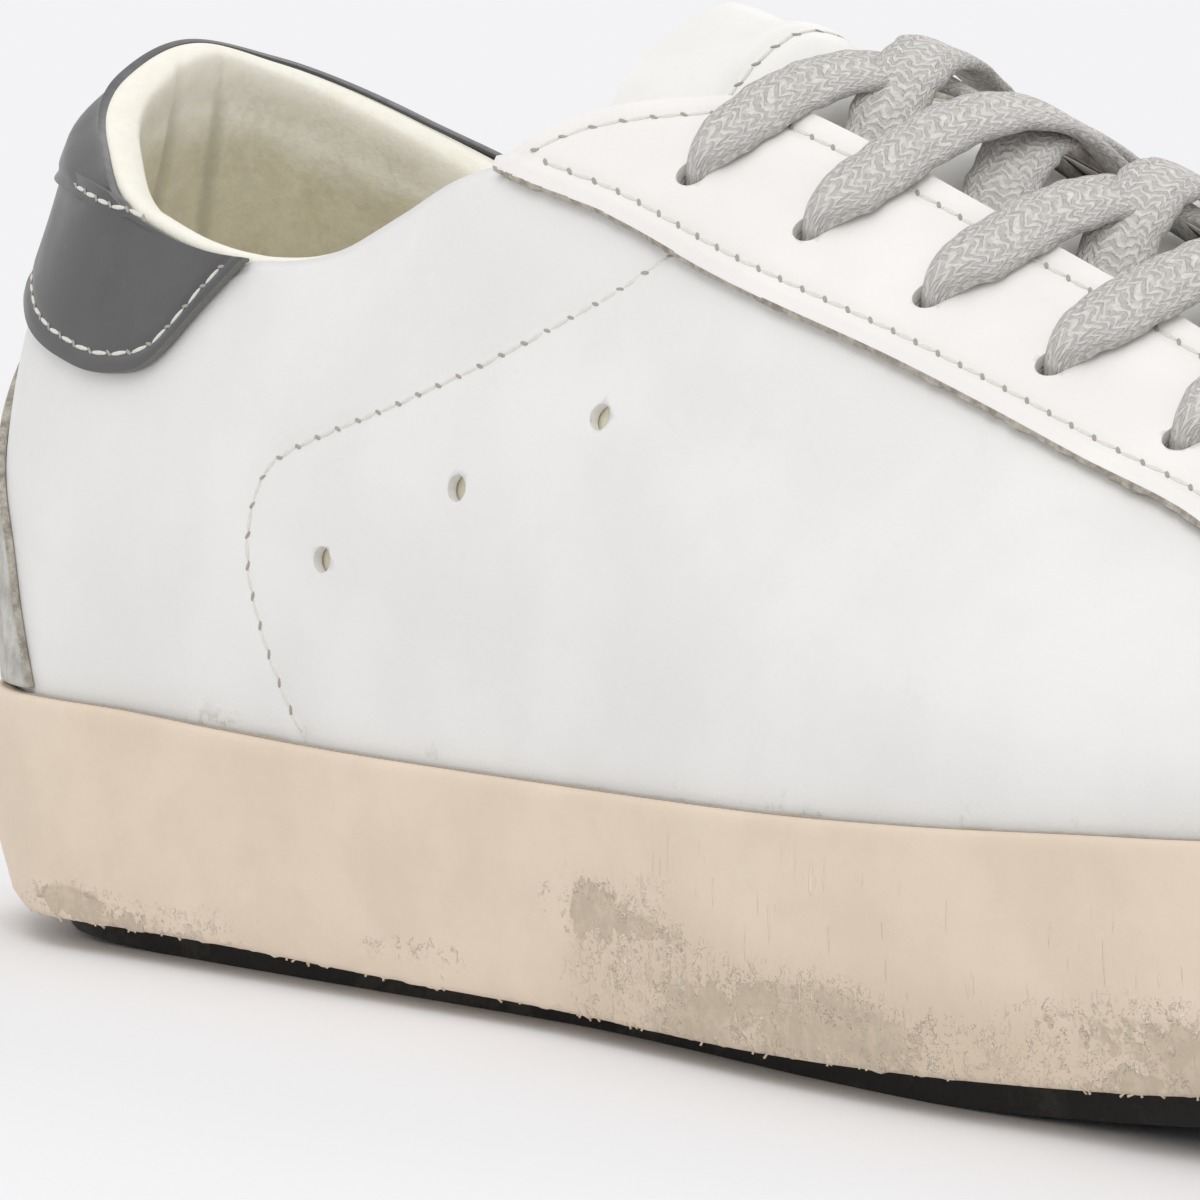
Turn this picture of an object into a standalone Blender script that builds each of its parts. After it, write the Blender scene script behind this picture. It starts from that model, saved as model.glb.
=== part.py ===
"""Worn low-top court sneaker for the left foot, as an assembly of separate solids.

Tables are in millimetres and the meshes are written in metres. +X runs from heel to toe, +Y to the
wearer's left (the outer side), +Z up from the floor, and the origin is the bottom centre of the sole.
Heights in the tables start at the cup's underside. on_floor pitches the last by RAKE and lifts it by TREAD_THICK,
so that the worn tread lies flat under it.
Every curved piece is cut from one function, last_point, which is the outside of the upper.
"""

import math

import bmesh
import bpy
import numpy as np

MM = 0.001

# Driving dimensions
HEEL_CENTRE = 38.0      # centre of the heel's round back, from the datum at the back of the upper
TOE_CENTRE = 209.0      # centre of the throat's round end and of the toe's fan
HEEL_RADIUS = 38.0      # nominal radius that spaces the stations round the heel
TOE_RADIUS = 50.0       # the same round the toe
SOLE_MID_X = 141.4      # from the datum to the middle of the sole's length
SOLE_MID_Y = 1.65       # the sole is this much wider on its outer side
GAP = 0.3               # between touching pieces
UPPER_WALL = 2.0
COLLAR_EXTRA = 1.3      # light padding at the collar
TREAD_THICK = 3.4       # from the floor to the cup's underside, RAKE_X from the datum
RAKE = 0.012            # slope at which the last is pitched, toe up
RAKE_X = 104.0
RAKE_Z = 27.0
TREAD_INSET = 6.8       # the tread stands this far inside the sole's outline
TREAD_HEEL_INSET = 2.0  # and this much more round the heel
CUP_WALL = 1.9
CUP_DEPTH = 10.0
INSOLE_THICK = 3.5
PANEL_THICK = 1.3
OVERLAY_ROWS = 6
OVERLAY_TIP = 1.0       # height of the tab and the panel where they taper off under the rim
TAB_THICK = 1.2
PATCH_THICK = 1.1
THROAT_HALF = 14.2
CORNER_X = 100.0        # where collar and facing meet
THROAT_START_X = 128.0
TONGUE_THICK = 3.4
TONGUE_FREE_X = 108.0   # above this the tongue stands free of the facing
TONGUE_SLOPE = 0.36     # its rise per millimetre from there back towards the heel
TONGUE_SWELL = 2.2      # how far it stands up in the throat, above the first lace
TONGUE_SWELL_END_X = 123.0
LACE_WIDTH = 9.0
LACE_THICK = 1.7
EYELET_REACH = 24.6
EYELET_FIRST_X = 122.6
EYELET_PITCH = 17.5
DIVE_SHARES = (0.72, 0.72, 0.72, 0.72, 0.56)  # each strap dives this share of the pitch ahead of its eyelet
GROOVE_DEPTH = 2.2
GROOVE_WIDTH = 3.4
GROOVE_SLANT = 0.5      # the grooves' sides lean in by this much
GROOVE_PITCH = 13.0
GROOVE_RUNS = ((26.0, 70.0), (142.0, 209.0))
HEEL_REACH = 36.9       # nominal reach of the tread's edge round the heel

HEEL_STEPS = 10         # stations round each half of the heel
HEEL_ARC = HEEL_RADIUS * math.pi / 2
TOE_ARC = TOE_RADIUS * math.pi / 2
SIDE_END = HEEL_ARC + TOE_CENTRE - HEEL_CENTRE
HALF_GIRTH = SIDE_END + TOE_ARC


def heel(degrees):
    """Station on the heel's fan, counted from straight back."""
    return HEEL_RADIUS * math.radians(degrees)


def side(x):
    """Station beside the foot, x millimetres from the datum."""
    return HEEL_ARC + x - HEEL_CENTRE


def toe(degrees):
    """Station on the toe's fan, counted from straight ahead."""
    return SIDE_END + TOE_RADIUS * math.radians(90 - degrees)


# The sections of the last, inner side. Reaches are measured out from the centre line, heights from the floor.
# The outer side has the same sections, widened in the ratio of the sole's two outlines.
# lean is how far brow and crown stand over to the outer side.
SECTION_COLUMNS = (
    "station", "inner_outline", "outer_outline", "join_z", "belly", "belly_z",
    "shoulder", "shoulder_z", "brow", "brow_z", "crown", "crown_z", "lean",
)
SECTIONS = (
    (heel(0), 41.0, 41.0, 26.0, 39.4, 46.0, 37.4, 66.0, 32.8, 84.0, 26.8, 105.0, 0.0),
    (heel(30), 42.0, 42.0, 25.7, 40.4, 46.0, 38.0, 65.0, 32.6, 82.0, 25.6, 104.0, 0.0),
    (heel(60), 40.6, 40.6, 25.9, 38.8, 45.0, 36.2, 63.0, 31.2, 78.0, 24.8, 100.0, 0.0),
    (side(38), 38.8, 39.2, 25.6, 37.0, 44.0, 34.6, 60.0, 30.8, 74.0, 24.8, 97.0, 0.0),
    (side(60), 39.2, 40.2, 24.5, 37.2, 43.0, 34.8, 58.0, 31.0, 71.0, 24.0, 94.0, 0.0),
    (side(82), 39.6, 41.4, 23.5, 37.6, 43.5, 35.0, 61.0, 30.6, 76.0, 15.0, 104.0, 0.2),
    (side(100), 39.8, 42.5, 23.0, 37.8, 45.0, 35.4, 65.0, 29.8, 87.0, 0.0, 106.8, 1.2),
    (side(117), 40.4, 44.2, 22.7, 38.0, 43.5, 35.4, 63.0, 27.2, 84.0, 0.0, 100.2, 2.4),
    (side(136), 43.0, 46.8, 22.8, 40.6, 41.0, 36.3, 59.0, 27.2, 78.4, 0.0, 93.8, 2.6),
    (side(158), 46.6, 50.2, 23.2, 43.8, 38.6, 37.9, 54.0, 27.2, 70.6, 0.0, 85.7, 2.6),
    (side(181), 49.0, 52.6, 24.0, 45.8, 36.4, 39.4, 48.8, 27.4, 62.4, 0.0, 76.8, 2.4),
    (side(209), 49.8, 53.0, 25.3, 46.6, 34.6, 39.8, 44.0, 26.8, 53.4, 0.0, 65.6, 2.0),
    (toe(70), 52.8, 53.4, 26.2, 49.8, 34.6, 42.5, 43.4, 28.4, 51.8, 0.0, 65.2, 2.0),
    (toe(50), 61.5, 57.4, 27.6, 58.4, 36.2, 50.4, 44.8, 32.8, 51.4, 0.0, 65.2, 2.0),
    (toe(32), 70.8, 63.9, 29.4, 67.6, 38.4, 59.2, 46.4, 38.2, 51.4, 0.0, 65.2, 2.0),
    (toe(16), 76.6, 71.3, 31.0, 73.4, 40.2, 65.0, 47.6, 42.2, 51.6, 0.0, 65.2, 2.0),
    (toe(0), 76.8, 76.8, 31.8, 73.8, 41.0, 66.0, 48.2, 42.6, 51.8, 0.0, 65.2, 2.0),
)

# The sole's wall from the tread up: share of its height, how far in from the outline, and how much more at the heel
WALL_COLUMNS = ("share", "inset", "heel_inset")
WALL = (
    (0.0, 0.5, 4.8),
    (0.06, 0.1, 2.2),
    (0.16, 0.0, 0.9),
    (0.3, 0.0, 0.0),
    (1.0, 0.0, 0.0),
)

# The sole from below, along the shoe: rise of the cup's underside above its level, and of the worn tread off the floor
UNDER_COLUMNS = ("x", "cup", "tread")
UNDER = (
    (-4.0, 3.4, 4.2),
    (8.0, 0.9, 2.1),
    (20.0, 0.2, 1.2),
    (32.0, 0.2, 0.5),
    (42.0, 0.2, 0.0),
    (63.0, 0.2, 0.0),
    (83.0, -0.25, 0.0),
    (104.0, -0.6, 0.0),
    (125.0, -0.65, 0.0),
    (146.0, -0.55, 0.0),
    (165.0, -0.05, 0.0),
    (176.0, 0.4, 0.0),
    (184.0, 0.75, 0.25),
    (204.0, 1.85, 1.4),
    (218.0, 3.0, 2.7),
    (250.0, 6.4, 5.9),
    (287.0, 10.6, 9.6),
)

# Height of the collar's rim on the inner and outer side
RIM_COLUMNS = ("station", "inner_z", "outer_z")
RIM = (
    (heel(0), 100.0, 100.0),
    (heel(25), 96.6, 97.4),
    (heel(55), 90.4, 91.6),
    (side(38), 81.6, 82.6),
    (side(48), 78.4, 78.2),
    (side(60), 76.7, 75.6),
    (side(67), 76.9, 75.4),
    (side(74), 78.5, 76.6),
    (side(81), 81.6, 79.6),
    (side(88), 84.9, 83.2),
    (side(100), 87.4, 88.2),
)

# Edge of the facing from the collar's corner round into the throat
FACING_COLUMNS = ("station", "reach")
FACING = (
    (side(100), 29.6),
    (side(103), 27.8),
    (side(107), 24.3),
    (side(112), 20.4),
    (side(117), 17.4),
    (side(122), 15.3),
    (side(128), THROAT_HALF),
)

# Lower edge of the front panel, from the facing's corner down to the sole
PANEL_COLUMNS = ("station", "edge_z")
PANEL_EDGE = (
    (side(100), 86.0),
    (side(112), 81.9),
    (side(132), 75.0),
    (side(160), 66.4),
    (side(185), 58.0),
    (side(205), 50.8),
    (toe(80), 44.0),
    (toe(68), 36.0),
    (toe(58), 27.4),
)

# Lower edge of the heel tab
TAB_COLUMNS = ("station", "edge_z")
TAB_EDGE = (
    (heel(0), 74.5),
    (heel(25), 72.5),
    (heel(48), 69.8),
    (heel(60), 67.0),
    (heel(75), 64.2),
    (side(38), 62.6),
    (side(45), 63.8),
    (side(52), 70.2),
    (side(59), 76.4),
)
TAB_END_X = 59.0

# Half width of the suede patch round the heel, by its share of the height from the sole up to the tab
PATCH_COLUMNS = ("share", "half_width")
PATCH = (
    (0.0, 45.5),
    (0.2, 43.6),
    (0.44, 39.0),
    (0.63, 29.0),
    (0.82, 20.0),
    (1.0, 16.0),
)

# The tongue from its rounded top down to its root under the vamp. It has slipped a little to the outer side.
TONGUE_COLUMNS = ("x", "shift", "half_width")
TONGUE = (
    (103.4, 3.0, 18.0),
    (104.2, 3.0, 21.5),
    (107.0, 2.6, 24.5),
    (113.0, 2.0, 26.5),
    (130.0, 1.0, 26.5),
    (160.0, 0.6, 24.0),
    (190.0, 0.3, 21.0),
    (206.0, 0.0, 18.5),
    (229.0, 0.0, 13.0),
)


def hermite(t, a, b, slope_a, slope_b, width):
    """Cubic between a and b with the given slopes."""
    return (
        a * (2 * t ** 3 - 3 * t ** 2 + 1)
        + slope_a * width * (t ** 3 - 2 * t ** 2 + t)
        + b * (3 * t ** 2 - 2 * t ** 3)
        + slope_b * width * (t ** 3 - t ** 2)
    )


def smooth_curve(knots, values, x):
    """Smooth curve through (knots, values), read at x."""
    knots = np.asarray(knots, float)
    values = np.asarray(values, float)
    slopes = np.gradient(values, knots)
    i = np.clip(np.searchsorted(knots, x, side="right") - 1, 0, len(knots) - 2)
    width = knots[i + 1] - knots[i]
    t = np.clip((x - knots[i]) / width, 0, 1)
    return hermite(t, values[i], values[i + 1], slopes[i], slopes[i + 1], width)


def column(table, names, name):
    return np.array([row[names.index(name)] for row in table])


def round_the_shoe(table, names, inner_name, outer_name=None):
    """Function of the signed girth station: minus on the inner side, plus on the outer side, 0 at the heel."""
    stations = column(table, names, "station")
    inner = column(table, names, inner_name)
    outer = column(table, names, outer_name or inner_name)
    knots = np.concatenate([-stations[::-1], stations[1:]])
    values = np.concatenate([inner[::-1], outer[1:]])
    closed = abs(stations[-1] - HALF_GIRTH) < 1e-6
    if closed:
        period = 2 * HALF_GIRTH
        knots = np.concatenate([knots[-4:-1] - period, knots, knots[1:4] + period])
        values = np.concatenate([values[-4:-1], values, values[1:4]])
    return lambda u: smooth_curve(knots, values, u)


def wrap(u):
    """Girth station brought back between minus and plus half the girth."""
    return (np.asarray(u, float) + HALF_GIRTH) % (2 * HALF_GIRTH) - HALF_GIRTH


OUTLINE = round_the_shoe(SECTIONS, SECTION_COLUMNS, "inner_outline", "outer_outline")
INNER_OUTLINE = round_the_shoe(SECTIONS, SECTION_COLUMNS, "inner_outline")
PROFILE = {name: round_the_shoe(SECTIONS, SECTION_COLUMNS, name) for name in SECTION_COLUMNS[3:]}
RIM_Z = round_the_shoe(RIM, RIM_COLUMNS, "inner_z", "outer_z")
PANEL_Z = round_the_shoe(PANEL_EDGE, PANEL_COLUMNS, "edge_z")
FACING_REACH = round_the_shoe(FACING, FACING_COLUMNS, "reach")
TAB_Z = round_the_shoe(TAB_EDGE, TAB_COLUMNS, "edge_z")


def plan(u, reach):
    """Plan position of the point that lies reach millimetres out at girth station u."""
    u = wrap(u)
    sign = np.where(u < 0, -1.0, 1.0)
    s = np.abs(u)
    back = np.minimum(s, HEEL_ARC) / HEEL_RADIUS
    front = np.maximum(s - SIDE_END, 0) / TOE_RADIUS
    centre = np.clip(s - HEEL_ARC, 0, TOE_CENTRE - HEEL_CENTRE) + HEEL_CENTRE
    at_heel = s < HEEL_ARC
    x = centre + np.where(at_heel, -reach * np.cos(back), reach * np.sin(front))
    y = sign * reach * np.where(at_heel, np.sin(back), np.cos(front))
    return x - SOLE_MID_X, y - SOLE_MID_Y


def floor_z(u):
    """Height of the cup's floor under the girth station."""
    return PROFILE["join_z"](wrap(u)) - CUP_DEPTH


def section(u, h):
    """Reach and height of the section at girth station u, for h from 0 at its foot in the cup to 1 on the crown."""
    u = wrap(u)
    h = np.asarray(h, float)
    widen = OUTLINE(u) / INNER_OUTLINE(u)
    foot = INNER_OUTLINE(u) - CUP_WALL - 2 * GAP
    value = {name: rail(u) for name, rail in PROFILE.items()}
    reach = np.stack([foot, foot, value["belly"], value["shoulder"], value["brow"], value["crown"]])
    height = np.stack([
        floor_z(u) + GAP, value["join_z"], value["belly_z"],
        value["shoulder_z"], value["brow_z"], value["crown_z"],
    ])
    count = len(reach) - 1
    position = np.clip(h, 0, 1) * count
    i = np.clip(position.astype(int), 0, count - 1)
    t = position - i
    result = []
    for rail in (reach, height):
        slope = np.empty_like(rail)
        slope[1:-1] = (rail[2:] - rail[:-2]) / 2
        slope[0] = rail[1] - rail[0]
        slope[-1] = rail[-1] - rail[-2]
        if rail is height:
            slope[-1] *= np.clip(value["crown"] / 20, 0, 1)
        ends = [np.take_along_axis(rows, k[None], axis=0)[0] for rows in (rail, slope) for k in (i, i + 1)]
        result.append(hermite(t, *ends, 1.0))
    return result[0] * widen, result[1]


def last_raw(u, h):
    """Point on the outside of the upper."""
    reach, z = section(u, h)
    x, y = plan(u, reach)
    over = PROFILE["lean"](wrap(u)) * ease((np.asarray(h, float) - 0.3) / 0.5)
    return np.stack([x, y + over, z], axis=-1)


def last_point(u, h, out=0.0):
    """Point of the last, moved out along the surface's normal."""
    u, h, out = np.broadcast_arrays(np.asarray(u, float), np.asarray(h, float), np.asarray(out, float))
    du, dh = 0.4, 0.004
    low = np.clip(h - dh, 0, 1)
    high = np.clip(h + dh, 0, 1)
    along = last_raw(u + du, h) - last_raw(u - du, h)
    up = last_raw(u, high) - last_raw(u, low)
    normal = np.cross(up, along)
    normal /= np.linalg.norm(normal, axis=-1, keepdims=True)
    return last_raw(u, h) + normal * out[..., None]


def solve_h(u, wanted, measure, low=0.2, high=0.999):
    """The h at which measure(u, h) reaches wanted; measure grows with h."""
    low = np.full(np.shape(u), low)
    high = np.full(np.shape(u), high)
    for _ in range(26):
        middle = (low + high) / 2
        below = measure(u, middle) < wanted
        low = np.where(below, middle, low)
        high = np.where(below, high, middle)
    return (low + high) / 2


def h_at_height(u, z):
    """The h at which the section has risen to z."""
    return solve_h(u, z, lambda a, b: section(a, b)[1])


def h_at_reach(u, reach):
    """The h at which the section has come in to reach."""
    return solve_h(u, -np.asarray(reach, float), lambda a, b: -section(a, b)[0], 0.5)


def ease(t):
    t = np.clip(t, 0, 1)
    return t * t * (3 - 2 * t)


def edge_h(u):
    """Top edge of the upper: the collar's rim, the rounded top of the facing, and the throat round to its end."""
    u = np.asarray(u, float)
    s = np.abs(wrap(u))
    corner = side(CORNER_X)
    rim = h_at_height(u, RIM_Z(np.clip(wrap(u), -corner, corner)))
    facing = h_at_reach(u, FACING_REACH(np.clip(s, corner, side(THROAT_START_X))))
    return np.where(s < corner, rim, facing)


def make_material(name, colour, roughness):
    material = bpy.data.materials.new(name)
    material.use_nodes = True
    shader = material.node_tree.nodes["Principled BSDF"]
    shader.inputs["Base Color"].default_value = (*colour, 1)
    shader.inputs["Roughness"].default_value = roughness
    shader.inputs["Metallic"].default_value = 0.0
    return material


def add_object(name, bm, material):
    """Object from a finished bmesh, with its normals outward and its sharp edges kept."""
    bmesh.ops.recalc_face_normals(bm, faces=bm.faces)
    mesh = bpy.data.meshes.new(name)
    bm.to_mesh(mesh)
    bm.free()
    mesh.materials.append(material)
    mesh.shade_smooth()
    mesh.set_sharp_from_angle(angle=math.radians(40))
    obj = bpy.data.objects.new(name, mesh)
    bpy.context.scene.collection.objects.link(obj)
    return obj


def on_floor(points):
    """From the last's own axes to the floor's, in metres: pitched by RAKE and lifted by the tread."""
    x, y, z = np.moveaxis(np.asarray(points, float), -1, 0)
    ahead = x + SOLE_MID_X - RAKE_X
    return np.stack([x - RAKE * (z - RAKE_Z), y, z + RAKE * ahead + TREAD_THICK], axis=-1) * MM


def add_points(bm, rings):
    return [[bm.verts.new(point) for point in on_floor(ring)] for ring in rings]


def add_rings(bm, rings):
    """Closed rings of points, each joined to the next by faces; gives their vertices."""
    verts = add_points(bm, rings)
    for ring, after in zip(verts, verts[1:]):
        for i in range(len(ring)):
            k = (i + 1) % len(ring)
            bm.faces.new((ring[i], ring[k], after[k], after[i]))
    return verts


def rings_solid(name, rings, closed, material):
    """Solid through rings of points: rings[j][i], each ring closed if closed, the last ring joined to the first."""
    bm = bmesh.new()
    verts = add_points(bm, rings)
    count = len(rings[0])
    for j, ring in enumerate(verts):
        after = verts[(j + 1) % len(verts)]
        for i in range(count if closed else count - 1):
            k = (i + 1) % count
            bm.faces.new((ring[i], ring[k], after[k], after[i]))
    if not closed:
        for i in (0, count - 1):
            loop = [ring[i] for ring in verts]
            half = len(loop) // 2
            for j in range(half - 1):
                bm.faces.new((loop[j], loop[j + 1], loop[-2 - j], loop[-1 - j]))
    return add_object(name, bm, material)


def wall_between(name, u, levels, inside, outside, material):
    """Wall between two offsets of the last, for stations u at each of the levels of h."""
    outer = [last_point(u, h, outside) for h in levels]
    inner = [last_point(u, h, inside) for h in reversed(levels)]
    return rings_solid(name, outer + inner, False, material)


def stations(marks):
    """Girth stations spaced evenly between marks, given as (station, steps) pairs."""
    result = [marks[0][0]]
    for (start, _), (end, steps) in zip(marks, marks[1:]):
        result += [start + (end - start) * k / steps for k in range(1, steps + 1)]
    return np.array(result)


def both_sides(half):
    """All round the shoe from stations that run from the heel's back to the toe's tip."""
    return np.concatenate([-half[::-1], half[1:-1]])


def facing_stations():
    """Stations from the facing's corner to the toe's tip, shared by the upper and the panel over it."""
    return stations([(side(CORNER_X), 0), (side(THROAT_START_X), 8), (side(TOE_CENTRE), 7), (toe(0), 9)])


def overlay_h(u):
    """Lower edge of the heel tab and of the front panel. Between them it only spaces the upper's rows."""
    s = np.abs(wrap(u))
    tab_end, corner = side(TAB_END_X), side(CORNER_X)
    t = np.clip((s - tab_end) / (corner - tab_end), 0, 1)
    below_rim = RIM_Z(np.clip(wrap(u), -corner, corner)) - OVERLAY_TIP - 56 * t * (1 - t)
    behind = h_at_height(u, np.minimum(TAB_Z(np.minimum(s, tab_end)), below_rim))
    above_sole = h_at_height(u, PROFILE["join_z"](wrap(u)) + 2 * GAP)
    before = np.maximum(h_at_height(u, PANEL_Z(np.maximum(s, corner))), above_sole)
    return np.where(s < corner, behind, before)


def rows_between(low, high, count):
    return [low + (high - low) * k / count for k in range(count + 1)]


def build_upper(material):
    """One wall, lightly padded at the collar, open at collar and throat and underneath."""
    back = stations([(heel(0), 0), (heel(90), HEEL_STEPS), (side(CORNER_X), 7)])
    u = both_sides(np.concatenate([back, facing_stations()[1:]]))
    top = edge_h(u)
    join = np.full_like(top, 0.2)
    middle = overlay_h(u)
    levels = [join * 0] + rows_between(join, middle, 5) + rows_between(middle, top, OVERLAY_ROWS)[1:]
    collar = np.clip((side(CORNER_X) - np.abs(wrap(u))) / 12, 0, 1)

    def wall(h):
        return UPPER_WALL + COLLAR_EXTRA * collar * ease((h / top - 0.75) / 0.2)

    outer = [last_point(u, h) for h in levels]
    inner = [last_point(u, h, -wall(h)) for h in reversed(levels)]
    return rings_solid("upper", outer + inner, True, material)


def heel_station(x):
    """Station on the heel's fan where the sole's outline stands at x."""
    return heel(math.degrees(math.acos((HEEL_CENTRE - x) / HEEL_REACH)))


def sole_stations():
    """Stations of the sole, and 1 or 0 for the ones that lie in a groove of the tread."""
    plain = [*stations([(heel(0), 0), (heel(70), 7)])]
    plain += [side(x) for x in (80.0, 94.0, 108.0, 122.0, 134.0)]
    plain += [*stations([(toe(85), 0), (toe(0), 9)])]
    marks = [(station, 0.0) for station in plain]
    for start, end in GROOVE_RUNS:
        for x in np.arange(start, end - GROOVE_WIDTH, GROOVE_PITCH):
            for offset, deep in ((0, 0), (GROOVE_SLANT, 1), (GROOVE_WIDTH - GROOVE_SLANT, 1), (GROOVE_WIDTH, 0)):
                at = x + offset
                marks.append((side(at) if at >= HEEL_CENTRE else heel_station(at), float(deep)))
    return np.array(sorted(marks)).T


def under_sole(x, name):
    """A column of UNDER at points x from the sole's middle, pitched as on_floor expects it."""
    at = x + SOLE_MID_X
    rise = smooth_curve(column(UNDER, UNDER_COLUMNS, "x"), column(UNDER, UNDER_COLUMNS, name), at)
    return (np.maximum(rise, 0.0) if name == "tread" else rise) - RAKE * (at - RAKE_X)


def across(bm, ring, half, deep, shares):
    """Ladder of faces from the inner to the outer side of a ring, sunk between its middle shares where deep."""
    count = len(ring)
    top = len(half) - 1
    rows = []
    for k in range(len(half)):
        a = ring[top - k]
        b = ring[(top + k) % count]
        if a is b:
            rows.append([a])
            continue
        row = [a]
        for j, share in enumerate(shares[1:-1], 1):
            point = a.co.lerp(b.co, share)
            inside = 1 < j < len(shares) - 2
            point.z += deep[k] * GROOVE_DEPTH * MM if inside else 0
            row.append(bm.verts.new(point))
        rows.append(row + [b])
    for row, after in zip(rows, rows[1:]):
        if len(row) == 1 or len(after) == 1:
            tip, edge = (row[0], after) if len(row) == 1 else (after[0], row)
            for p, q in zip(edge, edge[1:]):
                bm.faces.new((tip, p, q))
            continue
        for j in range(len(row) - 1):
            bm.faces.new((row[j], row[j + 1], after[j + 1], after[j]))


def build_sole(material):
    """Cup sole: rounded bottom edge, side wall, rim, cup, and a ladder of tread grooves underneath."""
    half, deep = sole_stations()
    u = both_sides(half)
    outline = OUTLINE(wrap(u))
    join = PROFILE["join_z"](wrap(u))
    at_heel = ease((heel(80) - np.abs(wrap(u))) / heel(40))
    bottom = under_sole(plan(u, outline)[0], "cup")
    x, y = plan(u, outline - TREAD_INSET - TREAD_HEEL_INSET * at_heel)
    rings = [np.stack([x, y, z], axis=-1) for z in (under_sole(x, "tread") - TREAD_THICK, bottom)]
    for share, inset, heel_inset in zip(*(column(WALL, WALL_COLUMNS, name) for name in WALL_COLUMNS)):
        x, y = plan(u, outline - inset - heel_inset * at_heel)
        rings.append(np.stack([x, y, bottom + (join - bottom) * share], axis=-1))
    x, y = plan(u, outline - CUP_WALL)
    rings += [np.stack([x, y, join], axis=-1), np.stack([x, y, floor_z(u)], axis=-1)]
    bm = bmesh.new()
    verts = add_rings(bm, rings)
    across(bm, verts[0], half, deep, (0.0, 0.16, 0.2, 0.5, 0.8, 0.84, 1.0))
    across(bm, verts[-1], half, deep * 0, (0.0, 0.5, 1.0))
    return add_object("sole", bm, material)


def build_insole(material):
    """Plate on the cup's floor, inside the upper."""
    half = stations([(heel(0), 0), (heel(90), 5), (side(TOE_CENTRE), 9), (toe(0), 6)])
    u = both_sides(half)
    x, y = plan(u, OUTLINE(wrap(u)) - CUP_WALL - UPPER_WALL - 5 * GAP)
    low = np.stack([x, y, floor_z(u) + GAP], axis=-1)
    high = low + np.array([0, 0, INSOLE_THICK])
    bm = bmesh.new()
    for ring in add_rings(bm, [low, high]):
        across(bm, ring, half, half * 0, (0.0, 0.5, 1.0))
    return add_object("insole", bm, material)


def instep_point(x, across, out):
    """Point over the instep, across from its centre line, moved out along the last's normal."""
    x, across = np.broadcast_arrays(np.asarray(x, float), np.asarray(across, float))
    ahead = np.maximum(x - TOE_CENTRE, 0)
    turn = np.arctan2(ahead, np.abs(across))
    station = side(np.minimum(x, TOE_CENTRE)) + TOE_RADIUS * turn
    u = np.where(across < 0, -station, station)
    return last_point(u, h_at_reach(u, np.maximum(np.hypot(ahead, across), 0.05)), out)


def tongue_point(x, across, depth):
    """The tongue lies under the facing, swells a little in the throat, and its top carries straight on."""
    under = np.maximum(x, TONGUE_FREE_X)
    edge = FACING_REACH(np.minimum(side(under), side(THROAT_START_X)))
    swell = TONGUE_SWELL * ease((under - TONGUE_FREE_X) / 6) * ease((TONGUE_SWELL_END_X - under) / 8)
    swell = swell * np.clip(1 - (across / edge) ** 2, 0, 1) ** 2
    base = instep_point(under, across, swell - (UPPER_WALL + 2 * GAP) - depth)
    return base + (x - under)[..., None] * np.array([1.0, 0.0, -TONGUE_SLOPE])


def build_tongue(material):
    x = np.array([103.4, 104.2, 107.0, 112.0, 119.0, 128.0, 140.0, 154.0, 168.0, 182.0, 195.0, 206.0, 218.0, 229.0])
    knots, shifts, widths = (column(TONGUE, TONGUE_COLUMNS, name) for name in TONGUE_COLUMNS)
    shift = smooth_curve(knots, shifts, x)
    half_width = smooth_curve(knots, widths, x)
    spread = np.linspace(-1, 1, 11)
    rings = []
    for depth in (0.0, TONGUE_THICK):
        rows = [tongue_point(x, shift + half_width * w, depth) for w in spread]
        rings += rows if depth == 0 else rows[::-1]
    return rings_solid("tongue", rings, False, material)


def build_front_panel(material):
    half = facing_stations()
    u = np.concatenate([-half, half[::-1][1:]])
    levels = rows_between(overlay_h(u), edge_h(u), OVERLAY_ROWS)
    return wall_between("front_panel", u, levels, GAP, GAP + PANEL_THICK, material)


def build_heel_tab(material):
    half = stations([(heel(0), 0), (heel(90), HEEL_STEPS), (side(TAB_END_X), 4)])
    u = np.concatenate([-half[::-1], half[1:]])
    levels = rows_between(overlay_h(u), edge_h(u), OVERLAY_ROWS)
    return wall_between("heel_tab", u, levels, GAP, GAP + TAB_THICK, material)


def build_heel_patch(material):
    """Back stay: flares from a narrow top under the tab's edge to the sole."""
    share = np.linspace(0, 1, 10)[:, None]
    half_width = np.interp(share, *(column(PATCH, PATCH_COLUMNS, name) for name in PATCH_COLUMNS))
    u = np.linspace(-1, 1, 17) * half_width
    low = h_at_height(u, PROFILE["join_z"](u) + 2 * GAP)
    high = h_at_height(u, TAB_Z(np.abs(u)) - 2 * GAP)
    h = low + (high - low) * share
    outer = last_point(u, h, GAP + PATCH_THICK)
    inner = last_point(u, h, GAP)
    return rings_solid("heel_patch", [*outer, *inner[::-1]], False, material)


def strap(name, start, end, lifts, widths, material):
    """Flat lace laid over the instep from start to end, given as (x, y); lifts and widths are read along it."""
    steps = 12
    share = np.linspace(0, 1, steps)
    x = start[0] + (end[0] - start[0]) * share
    y = start[1] + (end[1] - start[1]) * share
    marks = np.linspace(0, 1, len(lifts))
    lift = smooth_curve(marks, lifts, share)
    width = np.interp(share, np.linspace(0, 1, len(widths)), widths)
    centre = instep_point(x, y, lift)
    normal = instep_point(x, y, lift + 1) - centre
    along = np.gradient(centre, axis=0)
    across_strap = np.cross(along, normal)
    across_strap /= np.linalg.norm(across_strap, axis=1, keepdims=True)
    section = ((0.5, 0.0), (0.4, 0.5), (-0.4, 0.5), (-0.5, 0.0), (-0.4, -0.5), (0.4, -0.5))
    rings = [
        centre + across_strap * (w * width)[:, None] + normal * (t * LACE_THICK)
        for w, t in section
    ]
    return rings_solid(name, rings, False, material)


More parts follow.
